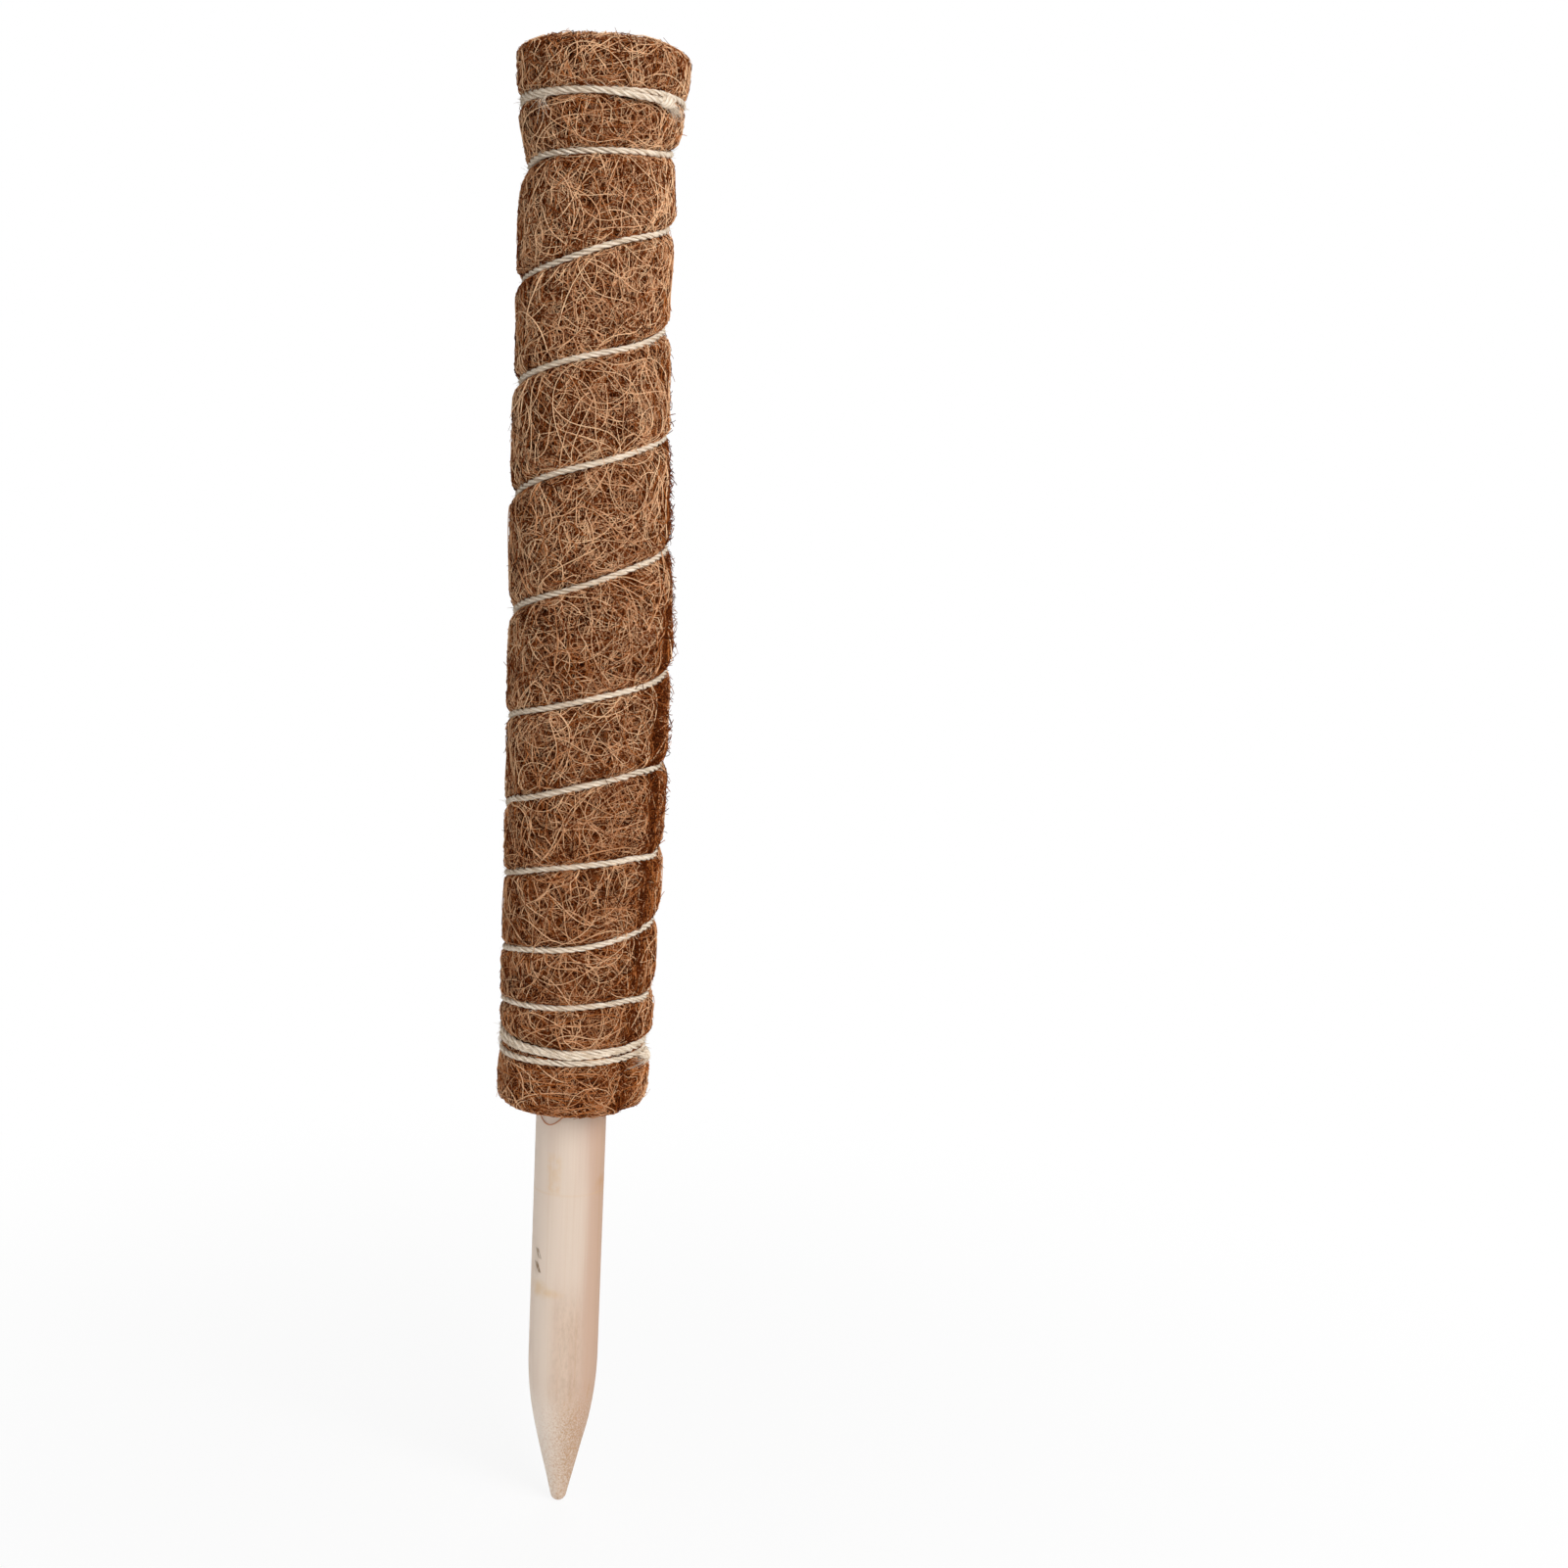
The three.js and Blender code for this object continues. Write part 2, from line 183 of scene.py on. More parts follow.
class StageSettings(bpy.types.PropertyGroup):
    """The camera and the light."""

    distance: size_property("Distance", "Of the camera in front of the axis", 572 * MM)
    height: size_property("Height", "Of the camera over the soil line", 175.5 * MM)
    aside: size_property("Aside", "Of the camera to the right of the axis", 53.4 * MM)
    pitch: angle_property("Pitch", "How far the camera looks down", 8.48)
    roll: angle_property("Roll", "How far the camera leans to the left", 2.78)
    yaw: angle_property("Yaw", "How far the camera turns to the right", 0.14)
    lens: bpy.props.FloatProperty(
        name="Lens", description="Focal length on a 36 mm sensor", default=48.76, unit="CAMERA"
    )
    backdrop: colour_property("Backdrop", "Colour of the floor and the background", 255, 255, 255)


class MossPoleSettings(bpy.types.PropertyGroup):
    """All settings of the moss pole."""

    stake: bpy.props.PointerProperty(type=StakeSettings)
    sleeve: bpy.props.PointerProperty(type=SleeveSettings)
    twine: bpy.props.PointerProperty(type=TwineSettings)
    stage: bpy.props.PointerProperty(type=StageSettings)


# Finishes


class Wire:
    """A node's output socket, with arithmetic that adds Math nodes to its tree."""

    def __init__(self, tree, socket):
        self.tree = tree
        self.socket = socket

    def node(self, kind, settings=None, sockets=None, output=0):
        """Adds a node of any kind. Settings are set first, then the sockets' values or links."""
        made = self.tree.nodes.new(kind)
        for name, value in (settings or {}).items():
            if name == "stops":
                ramp = made.color_ramp
                while len(ramp.elements) < len(value):
                    ramp.elements.new(0.5)
                for element, (place, shade) in zip(ramp.elements, value):
                    element.position = place
                    element.color = opaque(shade)
            else:
                setattr(made, name, value)
        for name, value in (sockets or {}).items():
            if isinstance(value, Wire):
                self.tree.links.new(value.socket, made.inputs[name])
            else:
                made.inputs[name].default_value = value
        return Wire(self.tree, made.outputs[output])

    def math(self, operation, *values):
        sockets = dict(enumerate(values))
        return self.node("ShaderNodeMath", {"operation": operation}, sockets)

    def __add__(self, other):
        return self.math("ADD", self, other)

    def __radd__(self, other):
        return self.math("ADD", other, self)

    def __sub__(self, other):
        return self.math("SUBTRACT", self, other)

    def __rsub__(self, other):
        return self.math("SUBTRACT", other, self)

    def __mul__(self, other):
        return self.math("MULTIPLY", self, other)

    def __rmul__(self, other):
        return self.math("MULTIPLY", other, self)

    def __pow__(self, other):
        return self.math("POWER", self, other)

    def larger(self, other):
        return self.math("MAXIMUM", self, other)

    def between(self, low, high):
        """0 at low and under, 1 at high and over, with a soft change between them."""
        sockets = {"Value": self, "From Min": low, "From Max": high}
        return self.node("ShaderNodeMapRange", {"interpolation_type": "SMOOTHSTEP"}, sockets)

    def within(self, low, high, soft):
        """1 from low to high and 0 outside, with soft borders."""
        return self.between(low - soft, low) * self.between(high + soft, high)

    def blot(self, across, size, flat=1):
        """A soft spot in the plane of this length and another, where both are 0 at its middle. With
        flat over 1 it is narrower in the other's direction."""
        away = (self * self + across * across * flat**2) ** 0.5
        return away.between(size, 0.2 * size)

    def noise(self, scale, stretch=(1, 1, 1), detail=3.0, roughness=0.55):
        """Noise on this vector, drawn out where stretch is under 1."""
        placed = self.node("ShaderNodeMapping", None, {"Vector": self, "Scale": stretch})
        sockets = {"Vector": placed, "Scale": scale, "Detail": detail, "Roughness": roughness}
        return self.node("ShaderNodeTexNoise", None, sockets)

    def ramp(self, *stops):
        return self.node("ShaderNodeValToRGB", {"stops": stops}, {"Fac": self})

    def mixed(self, first, second):
        """From the first colour to the second by this value."""
        sockets = {0: self, 6: opaque(first), 7: opaque(second)}
        return self.node("ShaderNodeMix", {"data_type": "RGBA"}, sockets, output=2)


def opaque(value):
    """A colour with its alpha, or a wire as it is."""
    return value if isinstance(value, Wire) else (*value, 1)


def seen_by(tree, *kinds):
    """1 for rays of these kinds and 0 for all others."""
    outputs = tree.nodes.new("ShaderNodeLightPath").outputs
    first, *others = (Wire(tree, outputs[f"Is {kind} Ray"]) for kind in kinds)
    for other in others:
        first = first.larger(other)
    return first


def new_finish(name, roughness, specular=0.3):
    """A material with an empty Principled shader, as (material, shader, Object coordinates)."""
    material = bpy.data.materials.new(name)
    material.use_nodes = True
    tree = material.node_tree
    tree.nodes.clear()
    shader = tree.nodes.new("ShaderNodeBsdfPrincipled")
    shader.inputs["Roughness"].default_value = roughness
    shader.inputs["Specular IOR Level"].default_value = specular
    output = tree.nodes.new("ShaderNodeOutputMaterial")
    tree.links.new(shader.outputs[0], output.inputs[0])
    places = tree.nodes.new("ShaderNodeTexCoord")
    return material, shader, Wire(tree, places.outputs["Object"])


def connect(wire, shader, socket):
    wire.tree.links.new(wire.socket, shader.inputs[socket])


def add_bump(height, distance, shader):
    bump = height.node("ShaderNodeBump", None, {"Height": height, "Distance": distance})
    connect(bump, shader, "Normal")


def tone_finish(name, specular, *stops):
    """Single fibres, each with its own tone."""
    material, shader, place = new_finish(name, 0.7, specular)
    tone = place.node("ShaderNodeAttribute", {"attribute_name": "tone"}, None, output="Fac")
    connect(tone.ramp(*stops), shader, "Base Color")
    return material


def coir_fibre_finish(settings):
    """Coir fibres from dark brown to golden."""
    shades = (settings.dark, settings.deep, settings.middle, settings.golden)
    return tone_finish("coir fibre", 0.05, *zip((0, 0.25, 0.6, 1), shades))


def coir_felt_finish(settings):
    """The felt under the fibres, dark as painted shade of the depths between them, with the short
    strokes of deeper ones.
    """
    material, shader, place = new_finish("coir felt", 0.9, 0.05)
    upright = place.noise(3000, (1, 1, 0.25), 2.0)
    across = place.noise(2600, (0.3, 0.3, 1.3), 2.0)
    strokes = upright.larger(across).between(0.46, 0.64)
    # Painted shade: the felt runs from the dark to the deep coir colour.
    connect(strokes.mixed(settings.dark, settings.deep), shader, "Base Color")
    add_bump(strokes, 0.4 * MM, shader)
    return material


def jute_finish(settings):
    """Laid jute: pale fibres along each ply, with darker streaks."""
    material, shader, place = new_finish("jute ply", 0.8, 0.2)
    along = place.node("ShaderNodeUVMap", {"uv_map": "ply"})
    streaks = along.noise(1, (260, 5, 1), 3.0)
    patches = along.noise(1, (40, 1, 1), 2.0)
    paleness = (0.6 * streaks + 0.4 * patches).between(0.34, 0.6)
    connect(paleness.mixed(settings.tan, settings.pale), shader, "Base Color")
    add_bump(streaks, 0.4 * MM, shader)
    return material


def jute_hair_finish(settings):
    """Single jute hairs, from tan to pale."""
    return tone_finish("jute hair", 0.2, (0, settings.tan), (1, settings.pale))


def wood_finish(settings):
    """Bare sanded softwood: fine lengthwise grain, a pinker side that is partly painted shade,
    painted light on the left, marks of use and specked end grain on the point. Places on the stake
    are in mm."""
    material, shader, place = new_finish("bare softwood", 0.62, 0.25)
    apart = place.node("ShaderNodeSeparateXYZ", None, {"Vector": place})
    x, y, z = (Wire(apart.tree, socket) * (1 / MM) for socket in apart.socket.node.outputs)
    front = y.between(1, -2)

    # Grain and a pinker right side, partly real tone and partly painted shade, with painted shade
    # that tans the right edge and painted light that keeps the left palest
    grain = place.noise(1300, (1, 1, 0.012), 4.0)
    broad = place.noise(150, (1, 1, 0.1), 3.0)
    side = x.between(0, 9)
    # Painted shade: the right edge is pinker and tanner.
    edge = x.between(4.5, 9.6)
    pink_and_painted_shade = (0.9 * broad + 0.35 * side + 0.3 * edge).between(0.35, 0.9)
    shade = pink_and_painted_shade.mixed(settings.pale, settings.pink)
    # Painted light: the left side is mixed towards the palest wood.
    shade = (0.3 * x.between(-2, -9)).mixed(shade, settings.fresh)
    grain_and_painted_shade = grain.between(0.5, 0.8) * (0.16 + 0.2 * side) + 0.1 * side + 0.28 * edge
    lower = z.between(-48, -66) * x.within(0, 3.5, 4.5) * front
    shade = (grain_and_painted_shade + lower * (0.12 + 0.2 * grain)).mixed(shade, settings.tan)
    fuzz = place.noise(1200, (1, 1, 0.3), 4.0, 0.7).between(0.36, 0.74)
    shade = (0.2 * lower * fuzz).mixed(shade, settings.mark)

    # Spots rubbed in handling
    blotch = place.noise(420, (1, 1, 0.6), 3.0).between(0.36, 0.6)
    warm = blotch * x.within(-4.6, -2.2, 1.4) * z.within(-24.5, -16, 2.5)
    ring = broad * z.within(-26.3, -25.9, 0.3)
    scuff = (x + 6.6).blot(z + 54.2, 3.6) + 0.8 * (x + 2.6).blot(z + 54.8, 4, 2.2)
    scuff = scuff * place.noise(400, (1, 1, 0.8), 3.0).between(0.2, 0.6)
    shade = ((0.34 * warm + 0.3 * ring + 0.5 * scuff) * front).mixed(shade, settings.worn)
    spot = (y + 2.6).blot(z + 24.4, 4.2) * x.between(5, 8) * (0.4 + 0.6 * blotch)
    shade = (0.7 * spot).mixed(shade, settings.tan)

    # The turned point, pale with specks of end grain, with painted light that keeps its left side
    # palest and specks that gather to the right partly as painted shade
    specks = place.noise(2200, (1, 1, 0.8), 3.0, 0.7)
    on_point = z.between(-80, -98)
    # Painted light: the point's left side is mixed towards the palest wood.
    shade = (0.85 * on_point * x.between(5, -4)).mixed(shade, settings.fresh)
    speckled = on_point * (0.3 + 0.6 * specks.between(0.5, 0.64)) * x.between(-9, 4)
    speckled = speckled + 0.12 * on_point * specks.between(0.52, 0.62)
    shade = speckled.mixed(shade, settings.tan)
    shade = (0.5 * on_point * specks.between(0.48, 0.38)).mixed(shade, settings.fresh)

    # Two short cuts and a stain in the grain
    slant = x + 0.35 * z
    upper = slant.within(-22.9, -22.3, 0.4) * z.within(-45.1, -43, 0.6)
    under = slant.within(-24.4, -23.8, 0.4) * z.within(-49.2, -47, 0.6)
    cuts = (0.6 * upper + 0.85 * under) * place.noise(900, (1, 1, 0.5), 2.0).between(0.26, 0.5)
    smudge = place.noise(210, (1, 1, 0.5), 3.0).between(0.44, 0.66)
    stain = 0.16 * x.within(-9.5, -7.6, 1.2) * z.within(-49, -42, 3) * smudge
    shade = ((cuts + stain) * front).mixed(shade, settings.mark)

    connect(shade, shader, "Base Color")
    add_bump(grain * 0.5 + 2 * on_point * specks, 0.12 * MM, shader)
    return material


# Shapes


def smooth(value, low, high):
    """0 at low and 1 at high, with a soft change between them."""
    share = np.clip((value - low) / (high - low), 0, 1)
    return share * share * (3 - 2 * share)


class Winding:
    """The twine's route, counted in turns from the front at its lowest helix turn."""

    STEPS = 24  # in a turn
    TURN_MOVES = (  # mm upwards, and mm that the right side is higher, one pair for each turn
        (0, 0), (-1.5, -0.9), (-1.6, -0.4), (-1.2, 0.1), (-1.3, 1.8), (-2.2, 0.2),
        (-0.6, 2.1), (0, 1.1), (0, 1), (0.3, 1.8), (1.4, -2.2), (0, 0),
    )
    STRAND_MOVES = (  # turn, and mm upwards
        (-2.75, 0.8), (-2.25, 0.6), (-2, 0.4), (-1.75, 0.7), (-1.25, 2.3), (-1, -0.1),
        (-0.89, 0.8), (-0.75, 0.6), (-0.25, 2.3), (0, -1.45), (0.25, -3), (0.4, -2), (0.7, 0),
        (1.14, 0), (1.22, -1.6), (1.36, 0), (3.06, 0), (3.13, -0.8), (3.22, -3.8), (3.4, 0),
        (3.6, 0), (3.75, -2), (3.83, 0), (4.14, 0), (4.22, -2), (4.36, 0), (10.5, 0),
        (10.75, 2), (11, 1.4), (11.12, 1.9), (11.3, 1), (11.75, -0.8), (12, -1), (12.13, -2.4),
    )
    KNOT_GAP = 0.3 * MM  # between a knot and the strand beside it

    def __init__(self, pole):
        sleeve, twine = pole.sleeve, pole.twine
        self.sleeve = sleeve
        self.twine = twine
        self.open_turns = len(twine.pitches)
        self.step = twine.diameter + twine.strand_gap
        self.first = -twine.bottom_turns
        self.last = self.open_turns + twine.top_turns
        self.turns = np.arange(self.open_turns * self.STEPS + 1) / self.STEPS
        middle = self.turns[:-1] + 0.5 / self.STEPS
        pitch = np.interp(middle - 0.5, np.arange(self.open_turns), twine.pitches)
        risen = np.concatenate([[0], np.cumsum(pitch)])
        low, high = twine.first_turn, sleeve.length - twine.last_turn
        self.heights = low + (high - low) * risen / risen[-1]
        reach = twine.knot_diameter / 2 + twine.diameter / 2 + self.KNOT_GAP
        self.knot_lift = math.sqrt(max(reach**2 - self.step**2, 0))

    def height(self, turn):
        """Height of the twine, close-wound outside the helix."""
        open_part = np.interp(turn, self.turns, self.heights)
        below = np.minimum(turn, 0) * self.step
        above = np.maximum(turn - self.open_turns, 0) * self.step
        return open_part + below + above + self.drift(turn)

    def drift(self, turn):
        """How far the hand-wound twine strays up or down: open turns lean to one side, and the
        strands of the bindings draw together and cross."""
        turns = np.arange(len(self.TURN_MOVES))
        up, lean = (np.interp(turn, turns, moves) for moves in zip(*self.TURN_MOVES))
        places, moves = zip(*self.STRAND_MOVES)
        return (up + lean * np.sin(turn * FULL_TURN) + np.interp(turn, places, moves)) * MM

    def floor_radius(self, turn, z):
        """Radius of the sleeve right under the twine."""
        angle = turn * FULL_TURN
        return crest_radius(self.sleeve, angle, z) - groove_depth(self.sleeve, angle, z)

    def points(self, turn):
        """Middle line of the twine at these turns, and the directions straight out of the pole. It
        rises to its knots, lies closer at the top and crosses over itself there."""
        z = self.height(turn)
        to_end = np.minimum(turn - self.first, self.last - turn)
        to_knot = 0.6 * self.knot_lift * (1 - smooth(to_end, 0, 1 / 6))
        crossing = 0.7 * MM * smooth(turn, self.open_turns + 0.85, self.open_turns + 1)
        closer = 0.4 * MM * smooth(turn, self.open_turns - 0.5, self.open_turns - 0.2)
        lift = self.twine.seat + self.twine.diameter / 2 + to_knot + crossing - closer
        radius = self.floor_radius(turn, z) + lift
        out = outward(turn * FULL_TURN)
        return out * radius[..., None] + np.array([0, 0, 1]) * z[..., None], out


def outward(angle):
    """Unit vectors straight out of the pole."""
    return np.stack([np.sin(angle), -np.cos(angle), np.zeros_like(angle)], -1)


def loose_share(sleeve, z):
    """How loose the mat is: 0 under the flare and 1 at the top."""
    return smooth(z, sleeve.length - sleeve.flare_length, sleeve.length)


# Share of the sleeve's height, and mm that the hand-rolled mat is thicker all round and on the right
UNEVEN_ROLL = (
    (0, -0.1, 0.1), (0.2, 0.6, 0.9), (0.45, 1.4, 0.9), (0.6, 0.7, -0.4), (0.78, -0.7, -1.6),
    (0.9, 0, -1.2), (0.97, -0.1, -0.7), (1, 0, -0.7),
)
LEFT_EASE = 1.1 * MM  # how much less deep the twine cuts at the lower left
LEFT_CLOSE = 0.35  # share by which its groove is narrower there


def crest_radius(sleeve, angle, z):
    """Radius of the sleeve's full bulges."""
    shares, around, right = zip(*UNEVEN_ROLL)
    more = np.interp(z / sleeve.length, shares, around)
    more = more + np.interp(z / sleeve.length, shares, right) * np.sin(angle)
    even = sleeve.bore_radius + 2 * sleeve.mat_thickness + sleeve.flare * loose_share(sleeve, z)
    neck = np.clip(1 - np.abs(z - sleeve.length + sleeve.neck_drop) / sleeve.neck_reach, 0, 1)
    return even + more * MM - sleeve.neck_depth * neck


def lower_left(sleeve, angle, z):
    """1 at the lower left, where the mat closes round the twine."""
    return smooth(-np.sin(angle), 0.2, 0.9) * smooth(z, 0.5 * sleeve.length, 0.3 * sleeve.length)


def groove_depth(sleeve, angle, z):
    """How far the twine pulls the mat in."""
    deep = sleeve.groove_depth - sleeve.top_ease * loose_share(sleeve, z)
    return deep - LEFT_EASE * lower_left(sleeve, angle, z)


class SleeveForm:
    """The sleeve's surface: bulges between the turns, rounded rims, flat ends and the free edge."""

    LUMP = 0.14 * MM  # height of each slow wave in the mat
    PRESSED = 0.6  # share by which the twine presses out how deep felt and fibres lie
    CURL_START = 5.5  # radians past the free edge, where the mat starts to stand off
    RIM_TURN = 1.5 * MM  # in which the wall turns into an end face
    CROWN = 1.5 * MM  # how far the end faces swell
    CROWN_START = 3 * MM  # from the rim to where they have swelled
    CROWN_END = 12 * MM  # radius where they fall off to the bore
    GAP_DEPTH = 1.6 * MM  # of the gap between the layers
    GAP_WIDTH = 0.7 * MM
    INNER_START = 2 * MM  # thickness of the mat's inner edge
    FOOT_SAG = 1 * MM  # how far the lower rim hangs
    FOOT_REACH = 9 * MM

    def __init__(self, pole):
        self.sleeve = pole.sleeve
        self.winding = Winding(pole)
        rng = np.random.default_rng(11)
        self.waves = [
            (rng.integers(1, 6), rng.uniform(30, 190), rng.uniform(0, FULL_TURN), rng.uniform(0.3, 1))
            for _ in range(9)
        ]

    def seam(self, z):
        """Angle of the mat's free outer edge."""
        twist = self.sleeve.seam_twist * z / self.sleeve.length
        return self.sleeve.seam_angle + twist - self.sleeve.seam_bow * self.at_middle(z)

    def at_middle(self, z):
        """1 where the free edge bows towards the front, and 0 near the ends."""
        share = z / self.sleeve.length
        return smooth(share, 0.18, 0.38) * smooth(share, 0.84, 0.62)

    def past_seam(self, angle, z):
        """How far an angle lies past the free edge, from 0 to a full turn."""
        return np.mod(angle - self.seam(z), FULL_TURN)

    def lumps(self, angle, z):
        """Slow unevenness of the hand-rolled mat."""
        total = np.zeros(np.broadcast(angle, z).shape)
        for round_count, along, phase, share in self.waves:
            total += share * np.sin(round_count * angle + along * z + phase)
        return self.LUMP * total

    def twine_distance(self, angle, z):
        """Height from the nearest strand of twine at that angle."""
        share = np.mod(angle, FULL_TURN) / FULL_TURN
        nearest = np.full(np.broadcast(angle, z).shape, 1.0)
        for whole in range(math.floor(self.winding.first), math.ceil(self.winding.last) + 1):
            turn = share + whole
            away = np.abs(z - self.winding.height(turn))
            held = (turn >= self.winding.first) & (turn <= self.winding.last)
            nearest = np.where(held, np.minimum(nearest, away), nearest)
        return nearest

    def radius(self, angle, z, past=None):
        """Outer radius. past overrides how far the place lies past the free edge."""
        return self.surface(angle, z, past)[0]

    def surface(self, angle, z, past=None):
        """Outer radius, and how strongly the twine presses there from 0 to 1."""
        sleeve = self.sleeve
        inside = np.clip(z, 0, sleeve.length)
        crest = crest_radius(sleeve, angle, inside)
        width = sleeve.groove_width * (1 - LEFT_CLOSE * lower_left(sleeve, angle, inside))
        pull = np.exp(-((self.twine_distance(angle, inside) / width) ** 1.3))
        found = crest + self.lumps(angle, inside) * (1 - pull)
        found = found - groove_depth(sleeve, angle, inside) * pull
        past = self.past_seam(angle, inside) if past is None else past
        lowered = crest - sleeve.seam_step * (1 - smooth(past, 0, sleeve.seam_fade))
        found = np.minimum(found, lowered)
        middle = smooth(inside, 0.2 * sleeve.length, 0.36 * sleeve.length)
        middle = middle * smooth(inside, 0.6 * sleeve.length, 0.52 * sleeve.length)
        curl = sleeve.seam_curl * middle * smooth(past, self.CURL_START, FULL_TURN) ** 2
        found = found + curl * (1 - pull)
        to_end = np.minimum(inside, sleeve.length - inside)
        short = np.clip(1 - to_end / sleeve.end_round, 0, 1)
        return found - sleeve.end_round * (1 - np.sqrt(1 - short**2)), pull

    def layer_gap(self, angle, z):
        """Radius of the gap between the roll's two layers, seen in its end faces."""
        before = FULL_TURN - self.past_seam(angle, z)
        share = np.clip(1 - before / self.sleeve.roll_overlap, 0, 1)
        start = self.sleeve.bore_radius + self.INNER_START
        end = self.sleeve.bore_radius + self.sleeve.mat_thickness
        return start + (end - start) * share

    def place(self, angle, along, lift, past=None):
        """Points and outward directions on the surface. along runs up the wall, and past 0 and the
        length it goes on over the end faces and into the bore."""
        sleeve = self.sleeve
        z = np.clip(along, 0, sleeve.length)
        rim, pull = self.surface(angle, z, past)
        lift = lift * np.where(lift > 0, 1 - pull, 1 - self.PRESSED * pull)
        over = np.abs(along - z)
        face = np.minimum(over, rim - sleeve.bore_radius)
        into_bore = over - face
        top = np.where(along > z, 1.0, -1.0)
        on_face = smooth(over, 0, self.RIM_TURN)
        radius = rim - face + lift * (1 - on_face)
        from_gap = (radius - self.layer_gap(angle, z)) / self.GAP_WIDTH
        dip = self.GAP_DEPTH * np.exp(-(from_gap**2))
        crown = self.CROWN * smooth(over, 0, self.CROWN_START)
        crown = crown * (1 - smooth(radius, self.CROWN_END, sleeve.bore_radius))
        z = z - self.FOOT_SAG * smooth(z, self.FOOT_REACH, 0)
        z = z + top * (on_face * (lift + crown - dip * (into_bore <= 0)) - into_bore)
        out = outward(angle)
        points = out * radius[..., None]
        points[..., 2] = z
        away = out * (1 - on_face)[..., None]
        away[..., 2] = top * on_face
        return points, away / np.linalg.norm(away, axis=-1, keepdims=True).clip(1e-6)


def unit(vectors):
    """The vectors at length 1."""
    return vectors / np.linalg.norm(vectors, axis=-1, keepdims=True).clip(1e-9)


def turned(out, side, turn):
    """Directions turned from out towards side."""
    return out * np.cos(turn)[:, None] + side * np.sin(turn)[:, None]


def run_along(line):
    """Length along a line up to each of its points."""
    return np.concatenate([[0], np.cumsum(np.linalg.norm(np.diff(line, axis=0), axis=1))])


def tube_rings(paths, away, radii, sides):
    """Rings of points round each path: paths and away are (paths, steps, 3), radii (paths, steps)."""
    along = unit(np.gradient(paths, axis=1))
    side = unit(np.cross(along, away))
    out = np.cross(side, along)
    turn = FULL_TURN * np.arange(sides) / sides
    ring = out[:, :, None] * np.cos(turn)[:, None] + side[:, :, None] * np.sin(turn)[:, None]
    return paths[:, :, None] + radii[:, :, None, None] * ring


def tubes_mesh(name, rings):
    """A mesh of closed tubes from rings of shape (tubes, steps, sides, 3)."""
    tubes, steps, sides = rings.shape[:3]
    index = np.arange(tubes * steps * sides).reshape(tubes, steps, sides)
    beside = np.roll(index, -1, axis=2)
    walls = np.stack([index[:, :-1], beside[:, :-1], beside[:, 1:], index[:, 1:]], -1)
    caps = np.concatenate([index[:, 0, ::-1], index[:, -1]])
    corners = np.concatenate([walls.reshape(-1), caps.reshape(-1)])
    wall_count = walls.size // 4
    starts = np.concatenate([np.arange(wall_count) * 4, walls.size + np.arange(len(caps)) * sides])
    mesh = bpy.data.meshes.new(name)
    mesh.vertices.add(index.size)
    mesh.vertices.foreach_set("co", rings.astype(np.float32).reshape(-1))
    mesh.loops.add(len(corners))
    mesh.loops.foreach_set("vertex_index", corners.astype(np.int32))
    mesh.polygons.add(len(starts))
    mesh.polygons.foreach_set("loop_start", starts.astype(np.int32))
    mesh.polygons.foreach_set("use_smooth", np.ones(len(starts), bool))
    mesh.update(calc_edges=True)
    mesh.validate()
    return mesh


def corner_places(mesh, steps, sides):
    """Tube, step and side of each face corner."""
    corners = np.empty(len(mesh.loops), np.int32)
    mesh.loops.foreach_get("vertex_index", corners)
    tube, rest = np.divmod(corners, steps * sides)
    return tube, *np.divmod(rest, sides)


def add_map(mesh, name, across, up):
    layer = mesh.uv_layers.new(name=name)
    layer.data.foreach_set("uv", np.stack([across, up], -1).astype(np.float32).reshape(-1))


def map_strands(mesh, run, sides):
    """A map with metres along each strand across, and once round it upwards."""
    tube, step, side = corner_places(mesh, len(run), sides)
    walls = 4 * sides * (len(run) - 1) * (tube.max() + 1)
    wrapped = side.copy()
    wrapped[1:walls:4] = side[0:walls:4] + 1
    wrapped[2:walls:4] = side[3:walls:4] + 1
    add_map(mesh, "ply", run[step], tube + wrapped / sides)


def add_tones(mesh, tones, steps, sides):
    """Gives every tube its tone, and a bake map on which equal tones share a place."""
    tone = np.repeat(tones, steps * sides).astype(np.float32)
    mesh.attributes.new("tone", "FLOAT", "POINT").data.foreach_set("value", tone)
    tube, step, side = corner_places(mesh, steps, sides)
    across = 0.01 + 0.96 * tones.astype(np.float32)[tube] + 0.01 * (side % 3)
    add_map(mesh, "OFBake", across, (step + side / sides) / steps)


def add_fibres(name, rings, tones, finish, slot):
    """Puts fibres with their own tones in the scene as one piece."""
    mesh = tubes_mesh(name, rings)
    add_tones(mesh, tones, *rings.shape[1:3])
    add_piece(mesh, finish, slot)


def add_piece(mesh, finish, slot, *nodes):
    """Puts a finished mesh in the scene as a piece of the pole."""
    piece = bpy.data.objects.new(mesh.name, mesh)
    bpy.context.scene.collection.objects.link(piece)
    finish_piece(piece, finish, slot, *nodes)


def finish_piece(piece, finish, slot, *nodes):
    """Gives a piece its finish, its body and the solids that it stands for."""
    piece.data.materials.clear()
    piece.data.materials.append(finish)
    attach(piece, BODY)
    if nodes:
        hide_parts(*nodes)


def start_primitive():
    """Leaves nothing selected, so that an operator acts on the new primitive alone."""
    if bpy.context.object and bpy.context.object.mode != "OBJECT":
        bpy.ops.object.mode_set(mode="OBJECT")
    bpy.ops.object.select_all(action="DESELECT")


def vertex_places(mesh):
    places = np.empty(len(mesh.vertices) * 3, np.float32)
    mesh.vertices.foreach_get("co", places)
    return places.reshape(-1, 3)


def move_vertices(mesh, places):
    mesh.vertices.foreach_set("co", places.astype(np.float32).reshape(-1))
    mesh.update()


